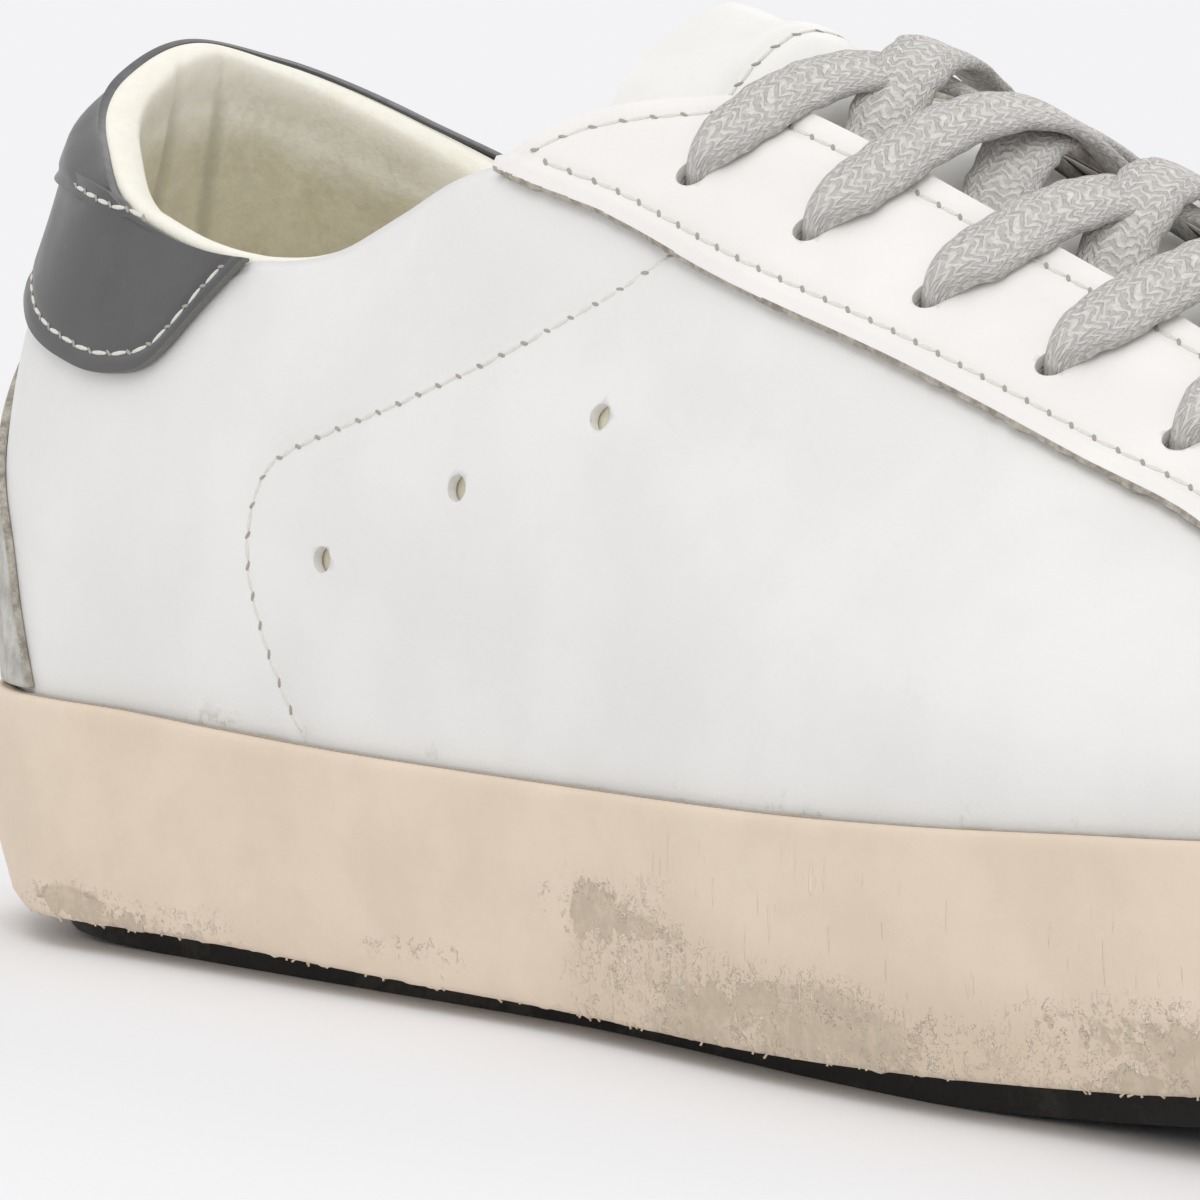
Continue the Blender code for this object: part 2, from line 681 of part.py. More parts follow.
def build_laces(material):
    """Crossings over the tongue, each two straps in one solid, and the straight bar over the lowest holes."""
    flat = GAP + PANEL_THICK + 2 * GAP + LACE_THICK / 2
    under = (flat, flat, 0.6, -0.3, -0.6)
    over = (flat, flat, 1.9, 1.6, -0.4)
    widths = (4.4, LACE_WIDTH, LACE_WIDTH, LACE_WIDTH, 6.5)
    for row, dive_share in enumerate(DIVE_SHARES):
        x = EYELET_FIRST_X + EYELET_PITCH * row
        dive = x + EYELET_PITCH * dive_share
        inner_on_top = row % 2 == 1
        name = f"lace_cross_{row + 1}"
        first = strap(name, (x, -EYELET_REACH), (dive, THROAT_HALF - 2.5),
                      over if inner_on_top else under, widths, material)
        second = strap(f"guide_{name}", (x, EYELET_REACH), (dive, 2.5 - THROAT_HALF),
                       under if inner_on_top else over, widths, material)
        second.hide_render = True
        second.display_type = "WIRE"
        join = first.modifiers.new("join", "BOOLEAN")
        join.operation = "UNION"
        join.object = second
    x = EYELET_FIRST_X + EYELET_PITCH * len(DIVE_SHARES)
    strap("lace_bar", (x, -EYELET_REACH), (x, EYELET_REACH), (flat, flat, flat), (4.4, LACE_WIDTH, 4.4), material)


MATERIALS = {
    "rubber": ((0.72, 0.60, 0.46), 0.6),
    "white_leather": ((0.80, 0.79, 0.76), 0.45),
    "grey_leather": ((0.14, 0.14, 0.14), 0.4),
    "suede": ((0.48, 0.47, 0.45), 0.9),
    "lining": ((0.80, 0.77, 0.66), 0.9),
    "lace": ((0.52, 0.51, 0.49), 0.9),
}


def main():
    for obj in list(bpy.data.objects):
        bpy.data.objects.remove(obj)
    materials = {name: make_material(name, *look) for name, look in MATERIALS.items()}
    build_sole(materials["rubber"])
    build_upper(materials["white_leather"])
    build_insole(materials["lining"])
    build_tongue(materials["white_leather"])
    build_front_panel(materials["white_leather"])
    build_heel_tab(materials["grey_leather"])
    build_heel_patch(materials["suede"])
    build_laces(materials["lace"])


main()
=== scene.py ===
import math

import bmesh
import bpy
import numpy as np
from mathutils import Euler, Matrix, Vector, noise as blenderNoise


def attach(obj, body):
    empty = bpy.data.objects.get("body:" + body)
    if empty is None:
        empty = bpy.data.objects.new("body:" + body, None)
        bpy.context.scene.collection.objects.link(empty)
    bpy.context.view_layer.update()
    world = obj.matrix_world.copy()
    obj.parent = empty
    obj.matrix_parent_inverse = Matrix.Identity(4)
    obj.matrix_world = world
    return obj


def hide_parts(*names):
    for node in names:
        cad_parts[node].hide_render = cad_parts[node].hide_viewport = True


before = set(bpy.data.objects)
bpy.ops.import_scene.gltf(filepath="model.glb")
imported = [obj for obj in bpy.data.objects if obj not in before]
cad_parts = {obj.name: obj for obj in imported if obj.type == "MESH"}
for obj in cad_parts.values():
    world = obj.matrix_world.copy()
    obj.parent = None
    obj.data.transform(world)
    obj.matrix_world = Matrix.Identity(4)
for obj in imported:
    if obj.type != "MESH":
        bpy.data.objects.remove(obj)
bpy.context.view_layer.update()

mm = 0.001
gap = 0.3                # millimetres between touching pieces, as in the solids
merge = 1e-6             # metres within which doubled points become one
batchSize = 20           # small shapes are made a few at a time, which keeps the mesh operators quick


# the last: the same stations and sections as the solids, in millimetres
last = {
    "heelCentre": 38.0,
    "toeCentre": 209.0,
    "heelRadius": 38.0,
    "toeRadius": 50.0,
    "midX": 141.4,
    "midY": 1.65,
    "cupWall": 1.9,
    "cupDepth": 10.0,
    "cornerX": 100.0,
    "throatStartX": 128.0,
    "treadThick": 3.4,   # all heights start at the cup's underside, this far above the floor at rakeX
    "rake": 0.012,       # slope at which the last is pitched, toe up, so that the worn tread lies flat
    "rakeX": 104.0,
    "rakeZ": 27.0,
}
heelArc = last["heelRadius"] * math.pi / 2
sideEnd = heelArc + last["toeCentre"] - last["heelCentre"]
halfGirth = sideEnd + last["toeRadius"] * math.pi / 2


def heelAt(degrees):     # station on the heel's fan, from straight back
    return last["heelRadius"] * math.radians(degrees)


def sideAt(x):           # station beside the foot
    return heelArc + x - last["heelCentre"]


def toeAt(degrees):      # station on the toe's fan, from straight ahead
    return sideEnd + last["toeRadius"] * math.radians(90 - degrees)


sectionColumns = (
    "station", "innerOutline", "outerOutline", "joinZ", "belly", "bellyZ",
    "shoulder", "shoulderZ", "brow", "browZ", "crown", "crownZ", "lean",
)
sections = (
    (heelAt(0), 41.0, 41.0, 26.0, 39.4, 46.0, 37.4, 66.0, 32.8, 84.0, 26.8, 105.0, 0.0),
    (heelAt(30), 42.0, 42.0, 25.7, 40.4, 46.0, 38.0, 65.0, 32.6, 82.0, 25.6, 104.0, 0.0),
    (heelAt(60), 40.6, 40.6, 25.9, 38.8, 45.0, 36.2, 63.0, 31.2, 78.0, 24.8, 100.0, 0.0),
    (sideAt(38), 38.8, 39.2, 25.6, 37.0, 44.0, 34.6, 60.0, 30.8, 74.0, 24.8, 97.0, 0.0),
    (sideAt(60), 39.2, 40.2, 24.5, 37.2, 43.0, 34.8, 58.0, 31.0, 71.0, 24.0, 94.0, 0.0),
    (sideAt(82), 39.6, 41.4, 23.5, 37.6, 43.5, 35.0, 61.0, 30.6, 76.0, 15.0, 104.0, 0.2),
    (sideAt(100), 39.8, 42.5, 23.0, 37.8, 45.0, 35.4, 65.0, 29.8, 87.0, 0.0, 106.8, 1.2),
    (sideAt(117), 40.4, 44.2, 22.7, 38.0, 43.5, 35.4, 63.0, 27.2, 84.0, 0.0, 100.2, 2.4),
    (sideAt(136), 43.0, 46.8, 22.8, 40.6, 41.0, 36.3, 59.0, 27.2, 78.4, 0.0, 93.8, 2.6),
    (sideAt(158), 46.6, 50.2, 23.2, 43.8, 38.6, 37.9, 54.0, 27.2, 70.6, 0.0, 85.7, 2.6),
    (sideAt(181), 49.0, 52.6, 24.0, 45.8, 36.4, 39.4, 48.8, 27.4, 62.4, 0.0, 76.8, 2.4),
    (sideAt(209), 49.8, 53.0, 25.3, 46.6, 34.6, 39.8, 44.0, 26.8, 53.4, 0.0, 65.6, 2.0),
    (toeAt(70), 52.8, 53.4, 26.2, 49.8, 34.6, 42.5, 43.4, 28.4, 51.8, 0.0, 65.2, 2.0),
    (toeAt(50), 61.5, 57.4, 27.6, 58.4, 36.2, 50.4, 44.8, 32.8, 51.4, 0.0, 65.2, 2.0),
    (toeAt(32), 70.8, 63.9, 29.4, 67.6, 38.4, 59.2, 46.4, 38.2, 51.4, 0.0, 65.2, 2.0),
    (toeAt(16), 76.6, 71.3, 31.0, 73.4, 40.2, 65.0, 47.6, 42.2, 51.6, 0.0, 65.2, 2.0),
    (toeAt(0), 76.8, 76.8, 31.8, 73.8, 41.0, 66.0, 48.2, 42.6, 51.8, 0.0, 65.2, 2.0),
)


def ease(t):
    t = np.clip(t, 0, 1)
    return t * t * (3 - 2 * t)


def dent(x, middle, width):      # 1 in the middle, fading out to both sides
    return np.exp(-((x - middle) / width) ** 2)


def hermite(t, a, b, slopeA, slopeB, width):
    return (
        a * (2 * t ** 3 - 3 * t ** 2 + 1)
        + slopeA * width * (t ** 3 - 2 * t ** 2 + t)
        + b * (3 * t ** 2 - 2 * t ** 3)
        + slopeB * width * (t ** 3 - t ** 2)
    )


def smoothCurve(knots, values, x):
    knots = np.asarray(knots, float)
    values = np.asarray(values, float)
    slopes = np.gradient(values, knots)
    i = np.clip(np.searchsorted(knots, x, side="right") - 1, 0, len(knots) - 2)
    width = knots[i + 1] - knots[i]
    t = np.clip((x - knots[i]) / width, 0, 1)
    return hermite(t, values[i], values[i + 1], slopes[i], slopes[i + 1], width)


def roundTheShoe(table, columns, innerName, outerName=None):
    # a value by signed girth station: minus on the inner side, plus on the outer, 0 at the heel
    station, inner, outer = (
        np.array([row[columns.index(name)] for row in table])
        for name in ("station", innerName, outerName or innerName)
    )
    knots = np.concatenate([-station[::-1], station[1:]])
    values = np.concatenate([inner[::-1], outer[1:]])
    if abs(station[-1] - halfGirth) < 1e-6:
        period = 2 * halfGirth
        knots = np.concatenate([knots[-4:-1] - period, knots, knots[1:4] + period])
        values = np.concatenate([values[-4:-1], values, values[1:4]])
    return lambda u: smoothCurve(knots, values, u)


def wrap(u):
    return (np.asarray(u, float) + halfGirth) % (2 * halfGirth) - halfGirth


outline = roundTheShoe(sections, sectionColumns, "innerOutline", "outerOutline")
innerOutline = roundTheShoe(sections, sectionColumns, "innerOutline")
profile = {name: roundTheShoe(sections, sectionColumns, name) for name in sectionColumns[3:]}


def edgeLine(*rows):
    # rows are station and value, with a second value where the outer side differs
    rows = [(row[0], row[1], row[-1]) for row in rows]
    return roundTheShoe(rows, ("station", "inner", "outer"), "inner", "outer")


rimZ = edgeLine(
    (heelAt(0), 100.0), (heelAt(25), 96.6, 97.4), (heelAt(55), 90.4, 91.6), (sideAt(38), 81.6, 82.6),
    (sideAt(48), 78.4, 78.2), (sideAt(60), 76.7, 75.6), (sideAt(67), 76.9, 75.4), (sideAt(74), 78.5, 76.6),
    (sideAt(81), 81.6, 79.6), (sideAt(88), 84.9, 83.2), (sideAt(100), 87.4, 88.2),
)
facingReach = edgeLine(
    (sideAt(100), 29.6), (sideAt(103), 27.8), (sideAt(107), 24.3), (sideAt(112), 20.4), (sideAt(117), 17.4),
    (sideAt(122), 15.3), (sideAt(128), 14.2),
)
panelZ = edgeLine(
    (sideAt(100), 86.0), (sideAt(112), 81.9), (sideAt(132), 75.0), (sideAt(160), 66.4), (sideAt(185), 58.0),
    (sideAt(205), 50.8), (toeAt(80), 44.0), (toeAt(68), 36.0), (toeAt(58), 27.4),
)
tabZ = edgeLine(
    (heelAt(0), 74.5), (heelAt(25), 72.5), (heelAt(48), 69.8), (heelAt(60), 67.0), (heelAt(75), 64.2),
    (sideAt(38), 62.6), (sideAt(45), 63.8), (sideAt(52), 70.2), (sideAt(59), 76.4),
)


def planAt(u, reach):
    u = wrap(u)
    sign = np.where(u < 0, -1.0, 1.0)
    s = np.abs(u)
    back = np.minimum(s, heelArc) / last["heelRadius"]
    front = np.maximum(s - sideEnd, 0) / last["toeRadius"]
    centre = np.clip(s - heelArc, 0, last["toeCentre"] - last["heelCentre"]) + last["heelCentre"]
    atHeel = s < heelArc
    x = centre + np.where(atHeel, -reach * np.cos(back), reach * np.sin(front))
    y = sign * reach * np.where(atHeel, np.sin(back), np.cos(front))
    return x - last["midX"], y - last["midY"]


def joinZ(u):            # height of the sole's lip
    return profile["joinZ"](wrap(u))


def sectionAt(u, h):
    u = wrap(u)
    h = np.asarray(h, float)
    widen = outline(u) / innerOutline(u)
    foot = innerOutline(u) - last["cupWall"] - 2 * gap
    value = {name: rail(u) for name, rail in profile.items()}
    reach = np.stack([foot, foot, value["belly"], value["shoulder"], value["brow"], value["crown"]])
    height = np.stack([
        value["joinZ"] - last["cupDepth"] + gap, value["joinZ"], value["bellyZ"],
        value["shoulderZ"], value["browZ"], value["crownZ"],
    ])
    count = len(reach) - 1
    position = np.clip(h, 0, 1) * count
    i = np.clip(position.astype(int), 0, count - 1)
    t = position - i
    result = []
    for rail in (reach, height):
        slope = np.empty_like(rail)
        slope[1:-1] = (rail[2:] - rail[:-2]) / 2
        slope[0] = rail[1] - rail[0]
        slope[-1] = rail[-1] - rail[-2]
        if rail is height:
            slope[-1] *= np.clip(value["crown"] / 20, 0, 1)
        ends = [np.take_along_axis(rows, k[None], axis=0)[0] for rows in (rail, slope) for k in (i, i + 1)]
        result.append(hermite(t, *ends, 1.0))
    return result[0] * widen, result[1]


def lastRaw(u, h):
    reach, z = sectionAt(u, h)
    x, y = planAt(u, reach)
    over = profile["lean"](wrap(u)) * ease((np.asarray(h, float) - 0.3) / 0.5)
    return np.stack([x, y + over, z], axis=-1)


def lastNormal(u, h):
    du, dh = 0.4, 0.004
    along = lastRaw(u + du, h) - lastRaw(u - du, h)
    up = lastRaw(u, np.clip(h + dh, 0, 1)) - lastRaw(u, np.clip(h - dh, 0, 1))
    normal = np.cross(up, along)
    return normal / np.linalg.norm(normal, axis=-1, keepdims=True)


def lastPoint(u, h, out=0.0):
    # the outside of the upper, moved out along its normal
    u, h, out = np.broadcast_arrays(np.asarray(u, float), np.asarray(h, float), np.asarray(out, float))
    return lastRaw(u, h) + lastNormal(u, h) * out[..., None]


def solveH(u, wanted, measure, low=0.2):
    low = np.full(np.shape(u), low)
    high = np.full(np.shape(u), 0.999)
    for _ in range(26):
        middle = (low + high) / 2
        below = measure(u, middle) < wanted
        low = np.where(below, middle, low)
        high = np.where(below, high, middle)
    return (low + high) / 2


def hAtHeight(u, z):
    return solveH(u, z, lambda a, b: sectionAt(a, b)[1])


def hAtReach(u, reach):
    return solveH(u, -np.asarray(reach, float), lambda a, b: -sectionAt(a, b)[0], 0.5)


def byStation(measure):   # the same measure, tabulated round the shoe
    marks = np.linspace(-halfGirth, halfGirth, 3001)
    values = measure(marks)
    return lambda u: np.interp(wrap(u), marks, values)


@byStation
def edgeH(u):
    # top edge of the upper: collar, the facing's rounded top and the throat
    u = np.asarray(u, float)
    s = np.abs(wrap(u))
    corner = sideAt(last["cornerX"])
    rim = hAtHeight(u, rimZ(np.clip(wrap(u), -corner, corner)))
    facing = hAtReach(u, facingReach(np.clip(s, corner, sideAt(last["throatStartX"]))))
    return np.where(s < corner, rim, facing)


@byStation
def panelH(u):
    s = np.abs(wrap(u))
    aboveSole = hAtHeight(u, joinZ(u) + 2 * gap)
    return np.maximum(hAtHeight(u, panelZ(np.maximum(s, sideAt(last["cornerX"])))), aboveSole)


@byStation
def tabH(u):
    return hAtHeight(u, np.minimum(tabZ(np.abs(u)), rimZ(u) - 1.0))


def instepStation(x, across):
    # girth station and h of a point over the instep, given by x and by its distance from the middle
    x, across = np.broadcast_arrays(np.asarray(x, float), np.asarray(across, float))
    ahead = np.maximum(x - last["toeCentre"], 0)
    turn = np.arctan2(ahead, np.abs(across))
    station = sideAt(np.minimum(x, last["toeCentre"])) + last["toeRadius"] * turn
    u = np.where(across < 0, -station, station)
    return u, hAtReach(u, np.maximum(np.hypot(ahead, across), 0.05))


rollEnd = sideAt(108)
rimRoll = edgeLine(      # how far the lining's roll stands above the leather
    (heelAt(0), 0.35), (heelAt(30), 0.5, 0.0), (heelAt(60), 1.0, 0.0), (sideAt(38), 1.6, 0.0),
    (sideAt(46), 1.5, 0.2), (sideAt(60), 1.1, 0.6), (sideAt(88), 0.9), (sideAt(99), 0.6), (rollEnd, 0.0),
)


def climb(u, h):         # millimetres of skin per unit of h
    return np.linalg.norm(lastRaw(u, h + 0.01) - lastRaw(u, h - 0.01), axis=-1) / 0.02


def hAbove(u, edge, distance):   # h at a distance in millimetres up from an edge
    return edge + distance / climb(u, edge + 0.01)


def hBelow(u, edge, distance):
    return edge - distance / climb(u, edge - 0.012)


def rollAt(u):
    return np.maximum(rimRoll(np.clip(wrap(u), -rollEnd, rollEnd)), 0)


@byStation
def topH(u):             # where the outermost leather ends, under the lining's roll
    return hBelow(u, edgeH(u), rollAt(u))


@byStation
def quarterTopH(u):      # the quarter stops lower where the tab covers it
    s = np.abs(wrap(u))
    covered = 1.5 * ease((sideAt(60) - s) / 6) + 3.5 * ease((sideAt(51) - s) / 8)
    return hBelow(u, topH(u), covered)


def curlAt(u):           # 1 where the heel tab's top bends in over the lining
    return ease((62 - np.abs(wrap(u))) / 22)


def ripple(u, z, waves):
    # soft troughs and ridges in the skin: each wave is (station, height, across, along, lean, depth)
    total = 0.0
    for station, height, across, along, lean, depth in waves:
        a = (u - station) * math.cos(lean) + (z - height) * math.sin(lean)
        b = -(u - station) * math.sin(lean) + (z - height) * math.cos(lean)
        total = total + depth * np.exp(-(a / across) ** 2 - (b / along) ** 2)
    return total


skin = {
    "wrinkles": (
        # station, height, half width across it, half length along it, lean, depth
        (-sideAt(62), 70.0, 3.4, 9.0, 0.30, 0.45),
        (-sideAt(69), 67.0, 3.0, 10.0, 0.42, -0.45),
        (-sideAt(77), 66.0, 3.6, 11.0, 0.50, 0.30),
        (-sideAt(52), 57.0, 6.0, 12.0, 0.9, -0.35),
        (-sideAt(92), 58.0, 9.0, 16.0, 1.0, -0.35),
        (-sideAt(126), 47.0, 12.0, 20.0, 1.2, -0.35),
        (-heelAt(70), 50.0, 7.0, 14.0, 0.2, -0.35),
        (sideAt(60), 66.0, 3.4, 10.0, -0.30, -0.5),
        (sideAt(68), 66.0, 3.6, 11.0, -0.42, 0.4),
        (sideAt(95), 56.0, 9.0, 15.0, -1.0, -0.4),
        (sideAt(150), 45.0, 7.0, 13.0, 0.9, -0.7),
        (sideAt(162), 42.0, 6.0, 12.0, 0.8, 0.4),
        (heelAt(60), 50.0, 7.0, 14.0, -0.2, -0.4),
    ),
    "flexStart": 222.0,      # the toe's break: creases across the vamp
    "flexes": ((0.0, 0.8), (11.5, 1.0), (24.15, 0.6)),    # distance ahead, share of the depth
    "flexDepth": 0.9,
    "flexWidth": 2.6,
    "flexBend": 0.0035,      # they bend back towards the sides
}


def relief(u, h):
    # how far the worn skin stands off the last
    u = wrap(u)
    raw = lastRaw(u, h)
    z = raw[..., 2]
    total = ripple(u, z, skin["wrinkles"])
    x = raw[..., 0] + last["midX"]
    y = raw[..., 1]
    bend = x + skin["flexBend"] * y ** 2 - skin["flexStart"]
    creases = 0.0
    for k, (ahead, share) in enumerate(skin["flexes"]):
        shift = bend - ahead + 2.0 * np.sin(y / (9 + 2 * k) + k)
        creases = creases - share * dent(shift, 0, skin["flexWidth"]) + 0.5 * share * dent(shift, 5.5, 4)
    top = ease((z - joinZ(u) - 8) / 14)
    return (total + skin["flexDepth"] * creases * top) * ease((z - joinZ(u)) / 8)


def skinPoint(u, h, out=0.0):
    return lastPoint(u, h, out + relief(u, h))


def onFloor(points):
    # from the last's own axes in millimetres to the floor's in metres
    x, y, z = np.moveaxis(np.asarray(points, float), -1, 0)
    ahead = x + last["midX"] - last["rakeX"]
    raised = z + last["rake"] * ahead + last["treadThick"]
    return np.stack([x - last["rake"] * (z - last["rakeZ"]), y, raised], axis=-1) * mm


def spot(point):
    return Matrix.Translation(Vector(onFloor(point)))


def stretch(sizes):
    return Matrix.Diagonal([*(size * mm for size in sizes), 1])


def roundTo(s, end):     # the station at s, from -end to end
    return (s * 2 - 1) * end


def crowd(t, share):     # rows drawn towards both edges
    return t - share * np.sin(2 * math.pi * t) / (2 * math.pi)


def gridMesh(across, along, place, uvAt=None, closed=False, flip=False):
    # a grid whose 0..1 coordinates (s, t) are placed by a function in millimetres
    bm = bmesh.new()
    uvLayer = bm.loops.layers.uv.new("UVMap")
    bmesh.ops.create_grid(bm, x_segments=across, y_segments=along, size=0.5, calc_uvs=True)
    flat = np.array([v.co[:] for v in bm.verts])
    s, t = flat[:, 0] + 0.5, flat[:, 1] + 0.5
    points = onFloor(place(s, t))
    uv = np.stack(uvAt(s, t), axis=-1) * mm if uvAt else np.stack([s, t], axis=-1)
    for i, v in enumerate(bm.verts):
        for loop in v.link_loops:
            loop[uvLayer].uv = uv[i]
    for v, point in zip(bm.verts, points):
        v.co = point
    if closed:
        bmesh.ops.remove_doubles(bm, verts=bm.verts, dist=merge / 10)
    if flip:
        bmesh.ops.reverse_faces(bm, faces=bm.faces)
    return bm


def addObject(name, data):
    thing = bpy.data.objects.new(name, data)
    bpy.context.scene.collection.objects.link(thing)
    return thing


def addMesh(name, bm):
    mesh = bpy.data.meshes.new(name)
    bm.to_mesh(mesh)
    bm.free()
    return addObject(name, mesh)


def joinInto(whole, batch):
    mesh = bpy.data.meshes.new("batch")
    batch.to_mesh(mesh)
    batch.free()
    whole.from_mesh(mesh)
    bpy.data.meshes.remove(mesh)


def finishPiece(name, bm, materials, replaces=(), smooth=None):
    piece = addMesh(name, bm)
    for material in materials:
        piece.data.materials.append(material)
    piece.data.shade_smooth()
    if smooth:
        piece.data.set_sharp_from_angle(angle=math.radians(smooth))
    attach(piece, "root")
    if replaces:
        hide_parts(*replaces)
    return piece


def solidify(piece, thickness, rimMaterial=0):
    wall = piece.modifiers.new("wall", "SOLIDIFY")
    wall.thickness = thickness * mm
    wall.offset = -1.0
    wall.use_even_offset = False
    wall.material_offset_rim = rimMaterial


def roundEdges(piece, width, segments=2, angle=60.0):
    edge = piece.modifiers.new("edge", "BEVEL")
    edge.width = width * mm
    edge.segments = segments
    edge.limit_method = "ANGLE"
    edge.angle_limit = math.radians(angle)
    edge.profile = 0.5
    edge.material = -1
    edge.use_clamp_overlap = True


def applyModifiers(piece):
    bpy.context.view_layer.update()
    graph = bpy.context.evaluated_depsgraph_get()
    mesh = bpy.data.meshes.new_from_object(piece.evaluated_get(graph))
    old = piece.data
    piece.modifiers.clear()
    piece.data = mesh
    bpy.data.meshes.remove(old)


def punch(piece, holes):
    # round holes through a wall, each (centre, normal, radius, depth) in millimetres
    bm = bmesh.new()
    for centre, normal, radius, depth in holes:
        turn = Vector(normal).to_track_quat("Z", "Y").to_matrix().to_4x4()
        bmesh.ops.create_cone(bm, cap_ends=True, segments=24, radius1=radius * mm,
                              radius2=radius * mm, depth=depth * mm, matrix=spot(centre) @ turn)
    cutter = addMesh("punch", bm)
    cut = piece.modifiers.new("punch", "BOOLEAN")
    cut.operation = "DIFFERENCE"
    cut.solver = "EXACT"
    cut.object = cutter
    applyModifiers(piece)
    bpy.data.meshes.remove(cutter.data)


class Wire:
    # the output of a shader node: arithmetic on it adds the math nodes
    def __init__(self, tree, socket):
        self.tree = tree
        self.socket = socket

    def to(self, socket):
        self.tree.links.new(self.socket, socket)

    def math(self, operation, other=0.5):
        return addNode(self.tree, "ShaderNodeMath", {0: self, 1: other}, operation=operation)[0]

    def __add__(self, other):
        return self.math("ADD", other)

    def __sub__(self, other):
        return self.math("SUBTRACT", other)

    def __rsub__(self, other):
        return addNode(self.tree, "ShaderNodeMath", {0: other, 1: self}, operation="SUBTRACT")[0]

    def __mul__(self, other):
        return self.math("MULTIPLY", other)

    def __truediv__(self, other):
        return self.math("DIVIDE", other)


def wires(tree, outputs):
    # a node's outputs by place and by name
    found = {}
    for place, output in enumerate(outputs):
        found[place] = found[output.name] = Wire(tree, output)
    return found


def addNode(tree, kind, inputs=None, **settings):
    node = tree.nodes.new(kind)
    for key, value in settings.items():
        setattr(node, key, value)
    for key, value in (inputs or {}).items():
        if isinstance(value, Wire):
            value.to(node.inputs[key])
        else:
            node.inputs[key].default_value = value
    return wires(tree, node.outputs)


def mapRange(value, low, high, toLow=0.0, toHigh=1.0):
    return addNode(value.tree, "ShaderNodeMapRange", {
        "Value": value, "From Min": low, "From Max": high, "To Min": toLow, "To Max": toHigh,
    }, interpolation_type="SMOOTHSTEP")["Result"]


def mixColour(factor, a, b):
    return addNode(factor.tree, "ShaderNodeMix", {0: factor, 6: a, 7: b}, data_type="RGBA")[2]


def noise(vector, scale, detail=3.0, roughness=0.5, distortion=0.0, output="Fac"):
    return addNode(vector.tree, "ShaderNodeTexNoise", {
        "Vector": vector, "Scale": scale, "Detail": detail, "Roughness": roughness, "Distortion": distortion,
    })[output]


def mapping(vector, location=(0, 0, 0), rotation=(0, 0, 0), scale=(1, 1, 1)):
    return addNode(vector.tree, "ShaderNodeMapping", {
        "Vector": vector, "Location": location, "Rotation": rotation, "Scale": scale,
    })["Vector"]


def vectorMath(vector, other, operation):
    return addNode(vector.tree, "ShaderNodeVectorMath", {0: vector, 1: other}, operation=operation)[0]


def jitter(vector, scale, detail, roughness, reach):
    # the vector pushed about by fine noise, by up to about half the reach
    loose = noise(vector, scale, detail, roughness, output="Color")
    shift = vectorMath(vectorMath(loose, (0.5, 0.5, 0.5), "SUBTRACT"), reach, "MULTIPLY")
    return vectorMath(vector, shift, "ADD")


def split(vector):
    parts = addNode(vector.tree, "ShaderNodeSeparateXYZ", {"Vector": vector})
    return parts["X"], parts["Y"]


def srgb(red, green, blue, dim=1.0):
    linear = (
        c / 12.92 if c <= 0.04045 else ((c + 0.055) / 1.055) ** 2.4
        for c in (red / 255, green / 255, blue / 255)
    )
    return (*(c * dim for c in linear), 1.0)


def newGroup(name, inputs, outputs):
    # a node group whose inputs are a Vector and named numbers
    tree = bpy.data.node_groups.new(name, "ShaderNodeTree")
    tree.interface.new_socket("Vector", in_out="INPUT", socket_type="NodeSocketVector")
    for label, value in inputs.items():
        tree.interface.new_socket(label, in_out="INPUT", socket_type="NodeSocketFloat").default_value = value
    for label in outputs:
        tree.interface.new_socket(label, in_out="OUTPUT", socket_type="NodeSocketFloat")
    given = wires(tree, tree.nodes.new("NodeGroupInput").outputs)
    return tree, given, tree.nodes.new("NodeGroupOutput").inputs


def buildGrain():
    # leather: small pores, finer tooth and slow unevenness
    tree, given, out = newGroup("leatherGrain", {"Pores": 1500.0, "Waves": 90.0}, ("Height", "Mottle"))
    cells = {"Vector": given["Vector"], "Scale": given["Pores"]}
    pores = addNode(tree, "ShaderNodeTexVoronoi", cells, feature="F1")["Distance"]
    tooth = noise(given["Vector"], given["Pores"] * 1.7, 2.0)
    waves = noise(given["Vector"], given["Waves"])
    (pores * 0.55 + tooth * 0.25 + waves * 1.6).to(out["Height"])
    mapRange(waves, 0.35, 0.68).to(out["Mottle"])
    return tree


def buildGrime():
    # patchy dirt: broad blotches broken up by fine specks
    tree, given, out = newGroup("grime", {"Size": 60.0, "Amount": 0.5}, ("Mask",))
    broad = noise(given["Vector"], given["Size"], 4.0, 0.6, 0.6)
    specks = noise(given["Vector"], given["Size"] * 9.0, 3.0, 0.7)
    low = 0.78 - given["Amount"] * 0.5
    mapRange(broad * 0.72 + specks * 0.28, low, low + 0.12).to(out["Mask"])
    return tree


def buildScratches():
    # short strokes along one direction of the map
    tree, given, out = newGroup("scratches", {"Density": 0.5}, ("Mask",))
    strokes = noise(given["Vector"], 1.0, 2.0, 0.55, 0.4)
    low = 0.80 - given["Density"] * 0.3
    mapRange(strokes, low, low + 0.06).to(out["Mask"])
    return tree


def buildNap():
    # short fibres that stand up: suede, terry and cotton fluff
    tree, given, out = newGroup("nap", {"Fibres": 2600.0, "Tufts": 500.0}, ("Height", "Shade"))
    fibres = noise(given["Vector"], given["Fibres"], 2.0, 0.6)
    height = fibres * 0.4 + noise(given["Vector"], given["Tufts"], 3.0, 0.6)
    height.to(out["Height"])
    mapRange(height, 0.45, 0.95).to(out["Shade"])
    return tree


grainGroup = buildGrain()
grimeGroup = buildGrime()
scratchGroup = buildScratches()
napGroup = buildNap()
print("shared effects built")


def useGroup(group, vector, **inputs):
    return addNode(vector.tree, "ShaderNodeGroup", {"Vector": vector, **inputs}, node_tree=group)


